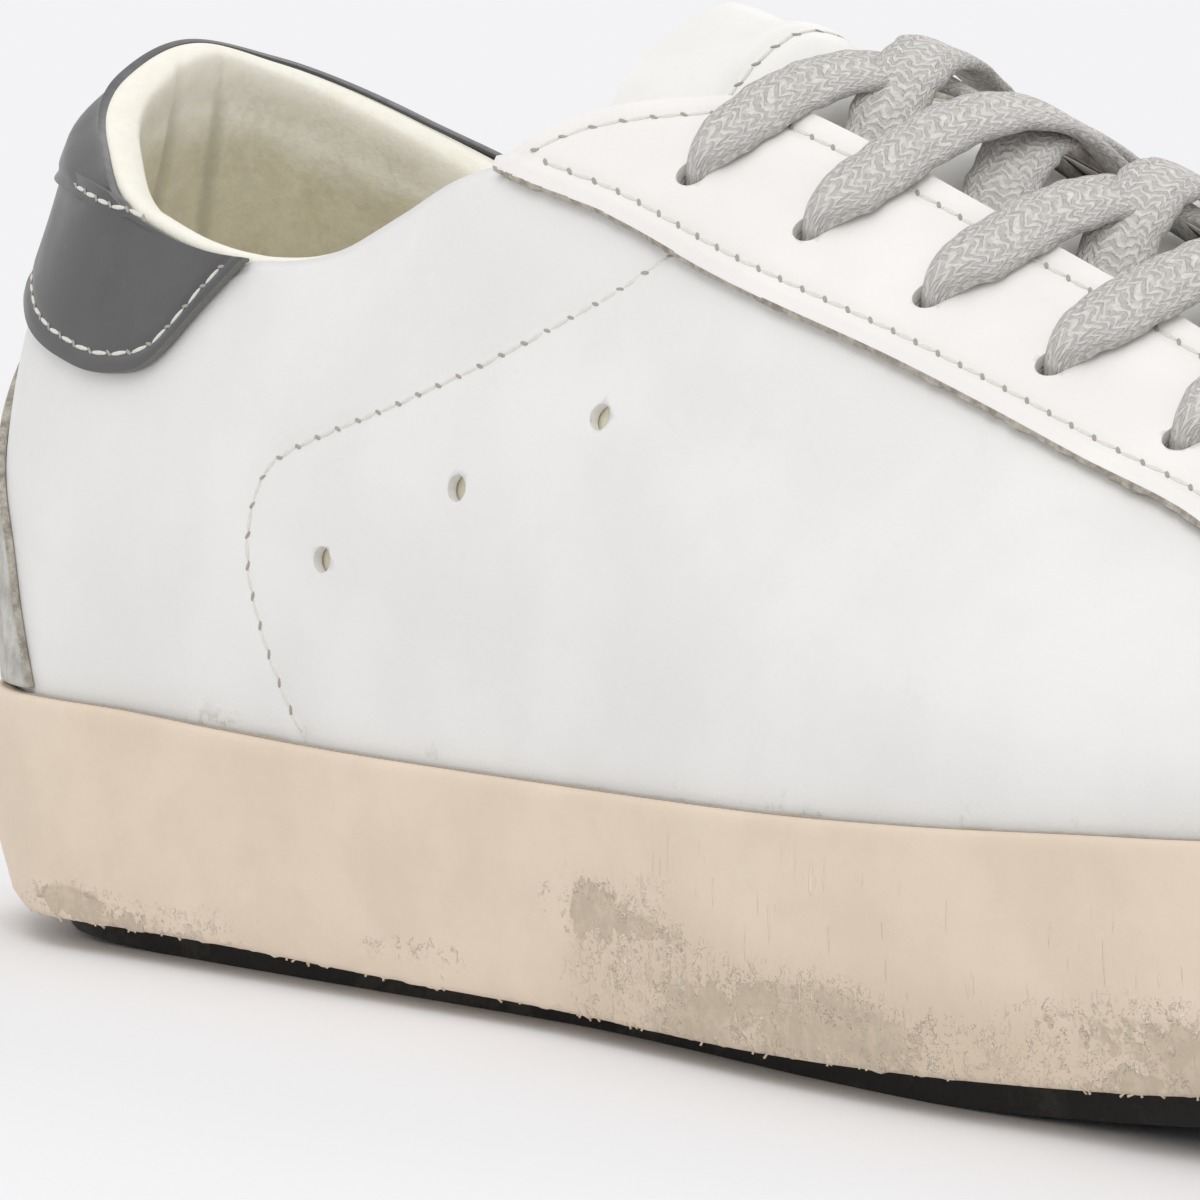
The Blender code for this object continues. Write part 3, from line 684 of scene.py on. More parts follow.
def startMaterial(name, roughness, sheen=0.0):
    material = bpy.data.materials.new(name)
    material.use_nodes = True
    tree = material.node_tree
    shader = tree.nodes["Principled BSDF"].inputs
    shader["Roughness"].default_value = roughness
    shader["Sheen Weight"].default_value = sheen
    place = wires(tree, tree.nodes.new("ShaderNodeTexCoord").outputs)
    return material, shader, place


def bump(shader, height, distance, strength=1.0):
    inputs = {"Height": height, "Distance": distance * mm, "Strength": strength}
    addNode(height.tree, "ShaderNodeBump", inputs)["Normal"].to(shader["Normal"])


whiteLook = {
    # light and dull colours, pores and waves of the grain, roughness
    "quarter": ((241, 240, 238), (236, 235, 233), 1700.0, 55.0, 0.46),
    "panel": ((247, 244, 241), (242, 239, 236), 1700.0, 55.0, 0.44),
    "tongue": ((243, 242, 238), (238, 236, 232), 1500.0, 60.0, 0.5),
    "grime": (196, 188, 172),
    "grimeHeight": 3.2,      # millimetres above the sole in which dirt gathers
}


def whiteLeather(piece, lowDirt=False):
    light, dull, pores, waves, roughness = whiteLook[piece]
    material, shader, place = startMaterial(f"{piece}Leather", roughness)
    grain = useGroup(grainGroup, place["Object"], Pores=pores, Waves=waves)
    colour = mixColour(grain["Mottle"], srgb(*dull), srgb(*light))
    dirt = useGroup(grimeGroup, place["Object"], Size=140.0, Amount=0.42)["Mask"]
    low = 0.05
    if lowDirt:
        _, height = split(place["UV"])
        low = mapRange(height, 0.0, whiteLook["grimeHeight"] * mm, 0.75, low)
    mixColour(dirt * low, colour, srgb(*whiteLook["grime"])).to(shader["Base Color"])
    mapRange(grain["Mottle"], 0.0, 1.0, roughness + 0.08, roughness - 0.04).to(shader["Roughness"])
    bump(shader, grain["Height"], 0.06, 0.55)
    return material


def greyLeather():
    material, shader, place = startMaterial("greyLeather", 0.36)
    grain = useGroup(grainGroup, place["Object"], Pores=1900.0, Waves=70.0)
    colour = mixColour(grain["Mottle"], srgb(80, 80, 81), srgb(88, 88, 88))
    rub = useGroup(grimeGroup, place["Object"], Size=220.0, Amount=0.34)["Mask"]
    mixColour(rub * 0.35, colour, srgb(122, 121, 119)).to(shader["Base Color"])
    mapRange(grain["Mottle"], 0.0, 1.0, 0.42, 0.33).to(shader["Roughness"])
    bump(shader, grain["Height"], 0.05, 0.5)
    return material


def napped(name, roughness, sheen, fibres, tufts, dark, light, height, worn=0.0):
    # suede and raw cut edges, with brown wear if any
    material, shader, place = startMaterial(name, roughness, sheen)
    nap = useGroup(napGroup, place["Object"], Fibres=fibres, Tufts=tufts)
    colour = mixColour(nap["Shade"], srgb(*dark), srgb(*light))
    if worn:
        mask = useGroup(grimeGroup, place["Object"], Size=120.0, Amount=0.5)["Mask"]
        colour = mixColour(mask * worn, colour, srgb(186, 172, 150))
    colour.to(shader["Base Color"])
    bump(shader, nap["Height"], height)
    return material


terryLook = {
    "fresh": ((248, 243, 228), (252, 249, 239)),
    # colours lower in the lining: worn cloth, and partly painted shade deep in the shoe
    "wornAndShaded": ((229, 222, 196), (238, 232, 210)),
    "matted": (186, 178, 150),
    "seam": (140, 134, 118),
    "seams": (-heelAt(13), heelAt(5)),      # stations of the lining's two upright seams
}


def terry():
    # the map's X runs round the shoe and its Y down from the rim, in metres
    material, shader, place = startMaterial("terryLining", 0.95, sheen=0.25)
    nap = useGroup(napGroup, place["Object"], Fibres=1900.0, Tufts=420.0)
    girth, depth = split(place["UV"])
    wobble = (noise(place["Object"], 60.0) - 0.5) * 0.014
    # darker from 6.5 mm to 11.5 mm below the rim: partly worn cloth, partly painted shade deep in the shoe
    deep = mapRange(depth + wobble, -0.0065, -0.0115)
    fresh, wornAndShaded = (
        mixColour(nap["Shade"], *(srgb(*tone) for tone in terryLook[state])) for state in ("fresh", "wornAndShaded")
    )
    colour = mixColour(deep, fresh, wornAndShaded)
    matted = useGroup(grimeGroup, place["Object"], Size=95.0, Amount=0.6)["Mask"]
    matted = matted * mapRange(depth, -0.001, -0.006, 0.0, 0.22)
    colour = mixColour(matted, colour, srgb(*terryLook["matted"]))
    for seam in terryLook["seams"]:
        away = (girth - seam * mm).math("ABSOLUTE")
        line = mapRange(away, 0.0026, 0.0002) * mapRange(depth, -0.003, -0.008, 0.0, 0.3)
        colour = mixColour(line, colour, srgb(*terryLook["seam"]))
    colour.to(shader["Base Color"])
    bump(shader, nap["Height"], 0.14)
    return material


rubberLook = {
    "clean": (233, 215, 195),
    "dull": (226, 208, 187),
    "stain": (206, 187, 163),
    "scuff": (194, 179, 159),
    "chalk": (243, 229, 210),
    "scuffTop": 0.0075,      # metres up the wall that the scuffs reach near the heel
    "scuffRise": 0.0095,     # how much higher the worst of them starts beside the arch
    "scuffFall": 0.005,      # and how much of that is lost on the way to the toe
    "worstFrom": (0.140, 0.147),  # metres round from the heel over which they rise
    "calmFrom": (0.154, 0.181),   # metres over which they fall again
}


def creamRubber():
    # the map's X runs round the sole and its Y up the wall, in metres
    material, shader, place = startMaterial("creamRubber", 0.62)
    place = place["UV"]
    girth, height = split(place)
    away = girth.math("ABSOLUTE")
    ahead = mapRange(away, *rubberLook["worstFrom"])
    mottle = mapRange(noise(place, 60.0, 4.0, 0.6), 0.35, 0.65)
    colour = mixColour(mottle, srgb(*rubberLook["dull"]), srgb(*rubberLook["clean"]))
    reach = ahead * rubberLook["scuffRise"] + rubberLook["scuffTop"]
    reach = reach - mapRange(away, *rubberLook["calmFrom"], 0.0, rubberLook["scuffFall"])
    low = mapRange(height / reach, 1.0, 0.4)
    colour = mixColour(low * ahead * 0.42, colour, srgb(*rubberLook["stain"]))
    # scuffs: patches with a torn outline, held to the low part of the wall
    bent = jitter(place, 560.0, 3.0, 0.7, (0.006, 0.011, 0.0))
    patches = noise(mapping(bent, location=(0.41, 0.2, 0), scale=(0.36, 1.3, 1)), 58.0, 4.0, 0.52, 0.3)
    held = patches - (1.0 - low) * 0.25 - (1.0 - ahead) * 0.06
    scuff = mapRange(held, 0.455, 0.51)
    broken = mapRange(noise(place, 420.0, 3.0, 0.65), 0.3, 0.62, 0.45, 0.9)
    colour = mixColour(scuff * broken, colour, srgb(*rubberLook["scuff"]))
    # chalky strokes: upright ones along the scuffs' fringe, slanted ones lower down
    fringe = mapRange(held, 0.36, 0.45) * mapRange(held, 0.53, 0.49)
    upright = mapping(bent, rotation=(0, 0, 0.35), scale=(1500, 560, 1))
    upright = useGroup(scratchGroup, upright, Density=0.72)["Mask"] * fringe
    slant = mapping(place, rotation=(0, 0, -0.8), scale=(1300, 130, 1))
    slant = useGroup(scratchGroup, slant, Density=0.5)["Mask"] * (mapRange(height, 0.024, 0.015) * ahead)
    strokes = upright.math("MAXIMUM", slant * 0.5)
    mixColour(strokes * 0.7, colour, srgb(*rubberLook["chalk"])).to(shader["Base Color"])
    mapRange(scuff, 0.0, 1.0, 0.58, 0.8).to(shader["Roughness"])
    grit = noise(place, 1500.0, 3.0, 0.6) * 0.35
    bump(shader, grit + (strokes * 1.3 - scuff * 0.5), 0.16, 0.9)
    return material


def paintedShadeTread():
    material, shader, place = startMaterial("paintedShadeTread", 0.8)
    dust = useGroup(grimeGroup, place["Object"], Size=70.0, Amount=0.55)["Mask"]
    # near-black: painted shade for the dark gap under the sole's overhang, with a little dust over it
    mixColour(dust * 0.22, srgb(30, 28, 27), srgb(96, 90, 82)).to(shader["Base Color"])
    bump(shader, noise(place["Object"], 900.0, 3.0, 0.6), 0.15)
    return material


braid = {
    "column": 0.0009,        # metres across one column of the braid
    "pitch": 0.00105,        # metres along it from strand to strand
    "slant": 1.1,
    "loose": (0.0013, 0.0013, 0.0013),      # metres that the strands stray
    "pale": (232, 229, 225),
    "dark": (186, 182, 177),
    "soil": (176, 168, 156),
}


def cottonTape():
    # flat braid: the map's X runs along the tape and its Y across it, in metres
    material, shader, place = startMaterial("cottonTape", 0.95, sheen=0.15)
    place = place["UV"]
    along, across = split(jitter(place, 900.0, 2.0, 0.5, braid["loose"]))
    lean = along + across.math("PINGPONG", braid["column"]) * braid["slant"]
    strand = mapRange((lean * (2 * math.pi / braid["pitch"])).math("SINE"), -1.0, 0.7)
    nap = useGroup(napGroup, place, Fibres=4200.0, Tufts=1100.0)
    shade = strand * 0.5 + nap["Shade"] * 0.5
    colour = mixColour(shade, srgb(*braid["dark"]), srgb(*braid["pale"]))
    soil = useGroup(grimeGroup, place, Size=90.0, Amount=0.5)["Mask"]
    mixColour(soil * 0.22, colour, srgb(*braid["soil"])).to(shader["Base Color"])
    bump(shader, shade, 0.34)
    return material


def speckled(name, roughness, sheen, speck, dark, light):
    material, shader, place = startMaterial(name, roughness, sheen)
    mixColour(noise(place["Object"], speck, 2.0), dark, light).to(shader["Base Color"])
    return material


def plainDark(name, colour):
    return speckled(name, 0.9, 0.0, 1800.0, srgb(*colour, dim=0.7), srgb(*colour))


quarterLeather = whiteLeather("quarter", lowDirt=True)
panelLeather = whiteLeather("panel")
tongueLeather = whiteLeather("tongue")
edgeLeather = napped("rawLeatherEdge", 0.85, 0.0, 2400.0, 700.0, (142, 135, 124), (194, 187, 176), 0.25)
tabLeather = greyLeather()
patchSuede = napped("greySuede", 0.95, 0.3, 3000.0, 260.0, (160, 156, 149), (205, 202, 196), 0.3, worn=0.5)
liningTerry = terry()
soleRubber = creamRubber()
# the tread's near-black colour is painted shade
paintedShadeRubber = paintedShadeTread()
laceCotton = cottonTape()
whiteThread = speckled("whiteThread", 0.75, 0.1, 2600.0, srgb(214, 211, 203), srgb(240, 238, 232))
glueResidue = plainDark("glueResidue", (184, 174, 158))
chalkRubber = plainDark("chalkRubber", (232, 214, 192))
tabEdge = plainDark("tabEdge", (128, 126, 122))
# needle holes: small dark ovals whose colour is painted shade
needleHoleShade = plainDark("needleHoleShade", (186, 180, 170))
print("materials ready")


def softNoise(points, size, seed=0.0):
    # smooth noise in -1..1 at points in millimetres
    scaled = np.asarray(points, float) / size + seed
    return np.array([blenderNoise.noise(Vector(p)) for p in scaled])


def polylineDistance(u, z, line):
    # distance in the flattened skin from a line of (station, height) marks
    best = np.full(np.shape(u), 1e3)
    for (u0, z0), (u1, z1) in zip(line, line[1:]):
        du, dz = u1 - u0, z1 - z0
        t = np.clip(((u - u0) * du + (z - z0) * dz) / (du * du + dz * dz), 0, 1)
        best = np.minimum(best, np.hypot(u - u0 - t * du, z - z0 - t * dz))
    return best


# sole
sole = {
    "columns": 820,
    "rows": 64,
    # row of 64, inset from the outline, the same more at the heel, share of the wall's height, extra height
    "loop": (
        (0, 9.0, 2.0, 0.0, 1.2), (2, 6.3, 2.0, 0.0, 1.2), (3, 6.3, 2.0, 0.0, 0.0), (6, 0.55, 4.8, 0.0, 0.0),
        (8, 0.25, 3.7, 0.015, 0.0), (11, 0.1, 2.2, 0.06, 0.0), (15, 0.0, 1.4, 0.16, 0.0),
        (18, -0.1, 0.5, 0.3, 0.0), (30, -0.3, 0.0, 0.66, 0.0), (42, 0.05, 0.0, 1.0, -1.1),
        (44, 0.2, 0.0, 1.0, -0.45), (46, 0.55, 0.0, 1.0, -0.08), (48, 1.3, 0.0, 1.0, 0.0),
        (50, 1.9, 0.0, 1.0, -0.4), (56, 1.9, 0.0, 1.0, -10.0), (60, 8.0, 0.0, 1.0, -10.0),
        (64, 9.0, 2.0, 0.0, 1.2),
    ),
    # along the shoe: x, rise of the cup's underside, rise of the worn tread off the floor
    "under": (
        (-4.0, 3.4, 4.2), (8.0, 0.9, 2.1), (20.0, 0.2, 1.2), (32.0, 0.2, 0.5), (42.0, 0.2, 0.0),
        (63.0, 0.2, 0.0), (83.0, -0.25, 0.0), (104.0, -0.6, 0.0), (125.0, -0.65, 0.0), (146.0, -0.55, 0.0),
        (165.0, -0.05, 0.0), (176.0, 0.4, 0.0), (184.0, 0.75, 0.25), (204.0, 1.85, 1.4), (218.0, 3.0, 2.7),
        (250.0, 6.4, 5.9), (287.0, 10.6, 9.6),
    ),
    "wallRows": (4, 44),     # rows that the pitted outer wall takes up
    "pitted": 0.10,
    "edgeRows": (2.5, 8),    # rows of the worn lower edge
    "fray": 0.45,            # how far torn bits hang below it
}
tread = {
    "columns": 420,
    "rows": 80,
    "inset": 6.8,
    "heelInset": 2.0,
    "top": 1.0,
    # position round the loop, share of the way across, 1 on top and 0 on the worn face
    "loop": ((0, 0, 1), (0.02, 0, 0), (0.74, 1, 0), (0.76, 1, 1), (0.98, 0, 1), (1, 0, 1)),
    "grooveRuns": ((26.0, 70.0), (142.0, 209.0)),
    "groovePitch": 13.0,
    "grooveWidth": 3.4,
    "grooveDepth": 2.2,
    "grooveMargin": 0.10,    # share of the width left plain at each side
    "ribPitch": 2.6,
    "ribDepth": 0.35,
    "ribMargin": 0.05,
    "ribEnd": 12.0,          # plain at heel and toe
    "zigzag": (9.0, 5.0),    # its length across the shoe, and its swing
}
glue = {"columns": 620, "sides": 8, "inset": 1.75, "halfWidth": 0.45, "thin": 0.04, "blobs": 0.34}
burr = {"count": 140, "row": 6.5, "radius": 0.14, "least": 0.25, "longer": 0.35}


def underSole(x, column):
    # heights of the cup's underside (1) and of the tread (2), before the last is pitched
    knots, rise = (np.array([row[k] for row in sole["under"]]) for k in (0, column))
    rise = smoothCurve(knots, rise, x + last["midX"])
    return (np.maximum(rise, 0) if column == 2 else rise) - last["rake"] * (x + last["midX"] - last["rakeX"])


def atHeel(u):
    return ease((heelAt(80) - np.abs(wrap(u))) / heelAt(40))


def soleLoop(s, t):
    u = roundTo(s, halfGirth)
    row, *rails = np.array(sole["loop"]).T
    inset, heelInset, share, extra = (np.interp(t * sole["rows"], row, rail) for rail in rails)
    low = underSole(planAt(u, outline(wrap(u)))[0], 1)
    return u, inset + heelInset * atHeel(u), low + (joinZ(u) - low) * share + extra, share


def withinRows(t, rows):
    return ((t > rows[0] / sole["rows"]) & (t < rows[1] / sole["rows"])).astype(float)


def placeSole(s, t):
    u, inset, z, share = soleLoop(s, t)
    x, y = planAt(u, outline(wrap(u)) - inset)
    flat = np.stack([x, y, z], axis=-1)
    pits = softNoise(flat, 1.6) + 0.7 * softNoise(flat, 0.8, 5.0)
    worn = 0.35 + 0.65 * ease((0.55 - share) / 0.4)
    pitted = withinRows(t, sole["wallRows"]) * sole["pitted"] * pits * worn
    x, y = planAt(u, outline(wrap(u)) - inset + pitted)
    torn = np.maximum(softNoise(flat, 2.1, 9.0) + 0.5 * softNoise(flat, 0.9, 3.0) - 0.12, 0)
    return np.stack([x, y, z - withinRows(t, sole["edgeRows"]) * sole["fray"] * torn], axis=-1)


def soleMap(s, t):
    u, inset, z, _ = soleLoop(s, t)
    return u, z - np.clip(inset - 2.5, 0, None)


def acrossShoe(u, inset, w):
    # plan point at a share of the way across the shoe, from the inner side's station to the outer one's
    innerX, innerY = planAt(-u, outline(wrap(-u)) - inset)
    outerX, outerY = planAt(u, outline(wrap(u)) - inset)
    return innerX + (outerX - innerX) * w, innerY + (outerY - innerY) * w


def treadGrooves(x):
    depth = 0.0
    for start, end in tread["grooveRuns"]:
        for edge in np.arange(start, end - tread["grooveWidth"], tread["groovePitch"]):
            middle = edge + tread["grooveWidth"] / 2
            depth = depth + ease((tread["grooveWidth"] / 2 - np.abs(x - middle)) / 0.6 + 0.5)
    return depth


def treadPoint(s, t):
    u = s * halfGirth
    at, *rails = np.array(tread["loop"], float).T
    w, top = (np.interp(t, at, rail) for rail in rails)
    x, y = acrossShoe(u, tread["inset"] + tread["heelInset"] * atHeel(u), w)
    inside = ease((w - tread["grooveMargin"]) / 0.02) * ease((1 - tread["grooveMargin"] - w) / 0.02)
    length, swing = tread["zigzag"]
    zigzag = np.abs((y / length) % 2 - 1) * swing
    rib = ease(np.sin((x + last["midX"] + zigzag) * 2 * math.pi / tread["ribPitch"]) + 0.5)
    border = ease((w - tread["ribMargin"]) / 0.01) * ease((1 - tread["ribMargin"] - w) / 0.01)
    border = border * ease((u - tread["ribEnd"]) / 4) * ease((halfGirth - tread["ribEnd"] - u) / 4)
    grooves = treadGrooves(x + last["midX"]) * inside * tread["grooveDepth"]
    sunk = np.maximum(grooves, rib * border * tread["ribDepth"])
    face = underSole(x, 2) - last["treadThick"] + sunk
    return np.stack([x, y, np.where(top > 0.5, underSole(x, 1) + tread["top"], face)], axis=-1)


def gluePoint(s, t):
    u = roundTo(s, halfGirth)
    around = 2 * math.pi * t
    x, y = planAt(u, outline(wrap(u)) - glue["inset"])
    middle = np.stack([x, y, joinZ(u) + 0.02], axis=-1)
    blobs = np.maximum(softNoise(middle, 7.0) + 0.45 * softNoise(middle, 1.7) - 0.08, 0)
    thick = glue["thin"] + glue["blobs"] * blobs
    x, y = planAt(u, outline(wrap(u)) - glue["inset"] + glue["halfWidth"] * np.cos(around))
    return np.stack([x, y, middle[:, 2] + thick * np.sin(around)], axis=-1)


def addBurr(bm, k):
    # one sliver of torn rubber on the lower edge
    share = (k * 0.618034 + 0.07 * math.sin(k * 7.1)) % 1.0
    rough = 0.5 + 0.5 * math.sin(k * 12.9)
    centre = placeSole(np.array([share]), np.array([burr["row"] / sole["rows"]]))[0]
    lean = Euler((0.9 * math.sin(k * 3.7), 1.1 * math.sin(k * 5.3), 0), "YXZ").to_matrix().to_4x4()
    half = (burr["radius"], burr["radius"], burr["least"] + burr["longer"] * rough * rough)
    bmesh.ops.create_cone(bm, cap_ends=True, segments=5, radius1=1, radius2=0.3, depth=2,
                          matrix=spot(centre) @ lean @ stretch(half))


def buildSole():
    bm = gridMesh(sole["columns"], sole["rows"], placeSole, soleMap, closed=True, flip=True)
    finishPiece("soleCup", bm, [soleRubber], ["sole"], smooth=60)
    bm = gridMesh(tread["columns"], tread["rows"], treadPoint, closed=True)
    bmesh.ops.remove_doubles(bm, verts=bm.verts, dist=merge)
    bmesh.ops.recalc_face_normals(bm, faces=bm.faces)
    finishPiece("soleTread", bm, [paintedShadeRubber], ["sole"], smooth=45)
    bm = gridMesh(glue["columns"], glue["sides"], gluePoint, closed=True, flip=True)
    finishPiece("glueLine", bm, [glueResidue], ["sole"])
    burrs = bmesh.new()
    for first in range(0, burr["count"], batchSize):
        batch = bmesh.new()
        for k in range(first, first + batchSize):
            addBurr(batch, k)
        joinInto(burrs, batch)
    finishPiece("soleBurrs", burrs, [chalkRubber], ["sole"])


buildSole()
print("sole built")


# upper
upper = {
    "columns": 560,
    "rows": 66,
    "foot": 0.12,            # h at which the leather starts, down in the cup
    "leather": 1.2,
    "seamDepth": 0.28,
    "ventRadius": 1.45,
    "vents": ((120.5, 61.0), (100.3, 52.8), (78.6, 44.1)),    # x and height, inner side only
    "seam": (                # x and height of the quarter's stitched line
        (124.5, 77.6), (117.1, 72.9), (104.4, 66.9), (89.4, 61.6), (77.9, 57.9), (70.0, 55.0), (67.0, 52.6),
        (65.4, 48.2), (65.6, 42.3), (68.1, 34.8), (71.5, 28.3), (74.2, 24.6),
    ),
}
seamLine = [(sideAt(x), z) for x, z in upper["seam"]]


eyelets = {
    "firstX": 122.6,
    "pitch": 17.5,
    "rows": 6,
    "reach": 24.6,
    "radius": 1.8,
}


def holeAt(u, h, radius, depth):
    return skinPoint(u, h)[0], lastNormal(u, h)[0], radius, depth


def eyeletHoles():
    holes = []
    for row in range(eyelets["rows"]):
        for across in (-eyelets["reach"], eyelets["reach"]):
            u, h = instepStation(np.array([eyelets["firstX"] + eyelets["pitch"] * row]), np.array([across]))
            holes.append(holeAt(u, h, eyelets["radius"], 9.0))
    return holes


def ventHoles():
    holes = []
    for x, z in upper["vents"]:
        u = np.array([-sideAt(x)])
        holes.append(holeAt(u, hAtHeight(u, np.array([z])), upper["ventRadius"], 5.0))
    return holes


def upperRows(s, t):
    u = roundTo(s, halfGirth)
    return u, upper["foot"] + (quarterTopH(u) - upper["foot"]) * t


def upperPoint(s, t):
    u, h = upperRows(s, t)
    fromSeam = polylineDistance(np.abs(wrap(u)), lastRaw(u, h)[..., 2], seamLine)
    return skinPoint(u, h, -upper["seamDepth"] * dent(fromSeam, 0, 0.9))


def upperMap(s, t):
    u, h = upperRows(s, t)
    return u, sectionAt(u, h)[1] - joinZ(u)


def buildUpper():
    bm = gridMesh(upper["columns"], upper["rows"], upperPoint, upperMap, closed=True, flip=True)
    piece = finishPiece("upperLeather", bm, [quarterLeather, edgeLeather], ["upper"])
    solidify(piece, upper["leather"], 1)
    punch(piece, ventHoles() + eyeletHoles())


buildUpper()
print("upper built")


# front panel: toe and both eyelet facings in one skin
panel = {
    "columns": 470,
    "rows": 64,
    "thick": 1.3,
    "gather": 0.72,          # rows crowd towards both edges
    "hem": 3.0,              # stitch line in from the lower edge
    "throatHem": 2.7,
    "channel": 0.30,
    "cutEdge": 0.42,         # the lower edge is cut at a slant this wide, and its raw side shows
    "shaved": 0.5,
}


def panelRows(s, t):
    corner = sideAt(last["cornerX"])
    u = corner + s * 2 * (halfGirth - corner)
    low, high = panelH(u), topH(u)
    h = low + (high - low) * crowd(t, panel["gather"])
    flat = lastPoint(u, h)
    fromLow, fromHigh = (np.linalg.norm(flat - lastPoint(u, edge), axis=-1) for edge in (low, high))
    return u, h, flat, fromLow, fromHigh


def panelPoint(s, t):
    u, h, flat, fromLow, fromHigh = panelRows(s, t)
    sewn = dent(fromLow, panel["hem"], 0.7) + dent(fromHigh, panel["throatHem"], 0.7)
    puff = 0.12 * dent(fromLow, 1.9, 0.8) - panel["channel"] * sewn
    shaved = panel["shaved"] * (1 - ease(fromLow / panel["cutEdge"]))
    torn = 0.3 * softNoise(flat, 1.3) * (1 - ease(fromLow / 0.4))
    return skinPoint(u, h + torn / climb(u, h), gap + panel["thick"] + puff - shaved)


def panelMap(s, t):
    u, _, _, fromLow, _ = panelRows(s, t)
    return u, fromLow


def buildPanel():
    bm = gridMesh(panel["columns"], panel["rows"], panelPoint, panelMap, flip=True)
    uvLayer = bm.loops.layers.uv.active
    for face in bm.faces:
        if max(loop[uvLayer].uv.y for loop in face.loops) < panel["cutEdge"] * mm:
            face.material_index = 1
    piece = finishPiece("frontPanel", bm, [panelLeather, edgeLeather], ["front_panel"])
    solidify(piece, panel["thick"])
    roundEdges(piece, 0.22)
    punch(piece, eyeletHoles())


buildPanel()
print("front panel built")


# collar lining: a soft roll over the leather's edge, padding below it, down to the footbed
lining = {
    "columns": 540,
    "rows": 120,
    "foot": 0.10,
    # position round the loop, distance below the rim in rolls, the same in millimetres, distance out
    "loop": (
        (0.00, 1.0, 3.4, -1.45), (0.05, 1.0, 1.6, -1.20), (0.08, 1.0, 0.9, -0.30), (0.115, 0.7, 0.5, 0.15),
        (0.155, 0.15, 0.5, -0.10), (0.19, 0.0, 0.3, -0.80), (0.225, 0.0, 0.2, -1.70),
        (0.26, 0.0, 0.35, -2.80), (0.295, 0.0, 0.9, -3.90), (0.34, 0.0, 3.0, -5.00), (0.42, 0.0, 8.0, -6.20),
    ),
    "deep": ((0.42, -6.20), (0.56, -6.30), (0.68, -4.20), (0.82, -2.30), (0.86, -1.45), (1.0, -1.45)),
    "turn": 0.82,            # bottom of the loop
    "seamDepth": 0.6,
    "tabShift": 1.6,         # the roll stands this much further in behind the heel tab
    "lumps": 0.35,
}


def liningLoop(s, t):
    # station, h, distance out from the skin and distance down from the rim
    u = roundTo(s, halfGirth)
    at, rolls, below, out = np.array(lining["loop"]).T
    rolled, foot, turn = at[-1], lining["foot"], lining["turn"]
    roll = rollAt(u)
    edge = edgeH(u)
    rate = climb(u, edge - 0.012)
    near = edge - (smoothCurve(at, rolls, t) * roll + smoothCurve(at, below, t)) / rate
    start = edge - (roll + below[0]) / rate
    low = edge - below[-1] / rate
    inside = low + (foot - low) * ((t - rolled) / (turn - rolled))
    outside = foot + (start - foot) * ((t - turn) / (1 - turn))
    h = np.where(t <= rolled, near, np.where(t < turn, inside, outside))
    deepAt, deepOut = np.array(lining["deep"]).T
    away = np.where(t <= rolled, smoothCurve(at, out, t), np.interp(t, deepAt, deepOut))
    rest = out[0]
    collar = ease((rollEnd - np.abs(wrap(u))) / 26)
    tabbed = ease((sideAt(60) - np.abs(wrap(u))) / 5)
    away = np.where(away > rest, away - 0.45 * (1 - tabbed), away)
    shown = np.clip(np.where(tabbed > 0, 1.0, roll / 0.8), 0, 1)
    away = rest + (away - rest) * np.where(away > rest, shown, 0.12 + 0.88 * collar)
    behind = curlAt(u) * ease((rolled - t) / 0.14) * ease(t / 0.03)
    return u, h, away - lining["tabShift"] * behind, (edge - h) * rate


def liningPoint(s, t):
    u, h, away, _ = liningLoop(s, t)
    inner = ease((t - 0.18) / 0.1) * ease((lining["turn"] - t) / 0.1)
    soft = softNoise(lastRaw(u, h), 14.0, 2.0) * lining["lumps"] * ease((t - 0.3) / 0.1) * inner
    pinch = sum(dent(wrap(u), seam, 1.3) for seam in terryLook["seams"])
    return skinPoint(u, h, away + soft + lining["seamDepth"] * pinch * inner)


def liningMap(s, t):
    u, _, _, below = liningLoop(s, t)
    return u, -np.maximum(below, 0)


def buildLining():
    bm = gridMesh(lining["columns"], lining["rows"], liningPoint, liningMap, closed=True, flip=True)
    piece = finishPiece("collarLining", bm, [liningTerry], ["upper"])


footbed = {
    "inset": last["cupWall"] + upper["leather"] + 1.2,
    "thick": 3.0,
    "above": 3.3,            # top over the cup's floor
    "dish": 1.6,             # the sides stand up by this much
    "mapDepth": -30.0,       # counts as deep down in the shoe, where the lining's colour is worn and partly painted shade
}


def footbedPoint(s, t):
    u = s * halfGirth
    x, y = acrossShoe(u, footbed["inset"], t)
    height = gap + footbed["above"] + footbed["dish"] * (2 * t - 1) ** 4
    return np.stack([x, y, joinZ(u) - last["cupDepth"] + height], axis=-1)


def buildFootbed():
    bm = gridMesh(150, 40, footbedPoint, lambda s, t: (s * halfGirth, np.full_like(t, footbed["mapDepth"])))
    bmesh.ops.remove_doubles(bm, verts=bm.verts, dist=merge)
    piece = finishPiece("footbed", bm, [liningTerry], ["insole"])
    solidify(piece, footbed["thick"])


buildLining()
buildFootbed()
print("lining and footbed built")


# heel tab: a lower tier, and an upper one that overlaps it
tab = {
    "lowerOut": 1.2,
    "upperOut": 1.45,
    "thick": 1.05,
    "hem": 2.2,
    "seamHem": 0.9,
    "curl": 2.3,             # the top bends in over the lining by this much
    "channel": 0.28,
    "gather": 0.7,           # rows crowd towards both edges
    "overlap": 2.2,
    "upperEnd": 65.5,
    "lowerEndX": 58.2,
}
tabSeam = edgeLine(      # heights of the upper tier's lower edge
    (heelAt(0), 84.4), (27.6, 83.4, 83.6), (45.0, 81.7, 82.2), (56.0, 80.0, 80.8), (63.0, 79.4, 80.0),
    (72.0, 79.0), (81.0, 78.6, 78.4),
)


@byStation
def seamH(u):
    return np.minimum(hAtHeight(u, tabSeam(u)), topH(u) - 0.004)


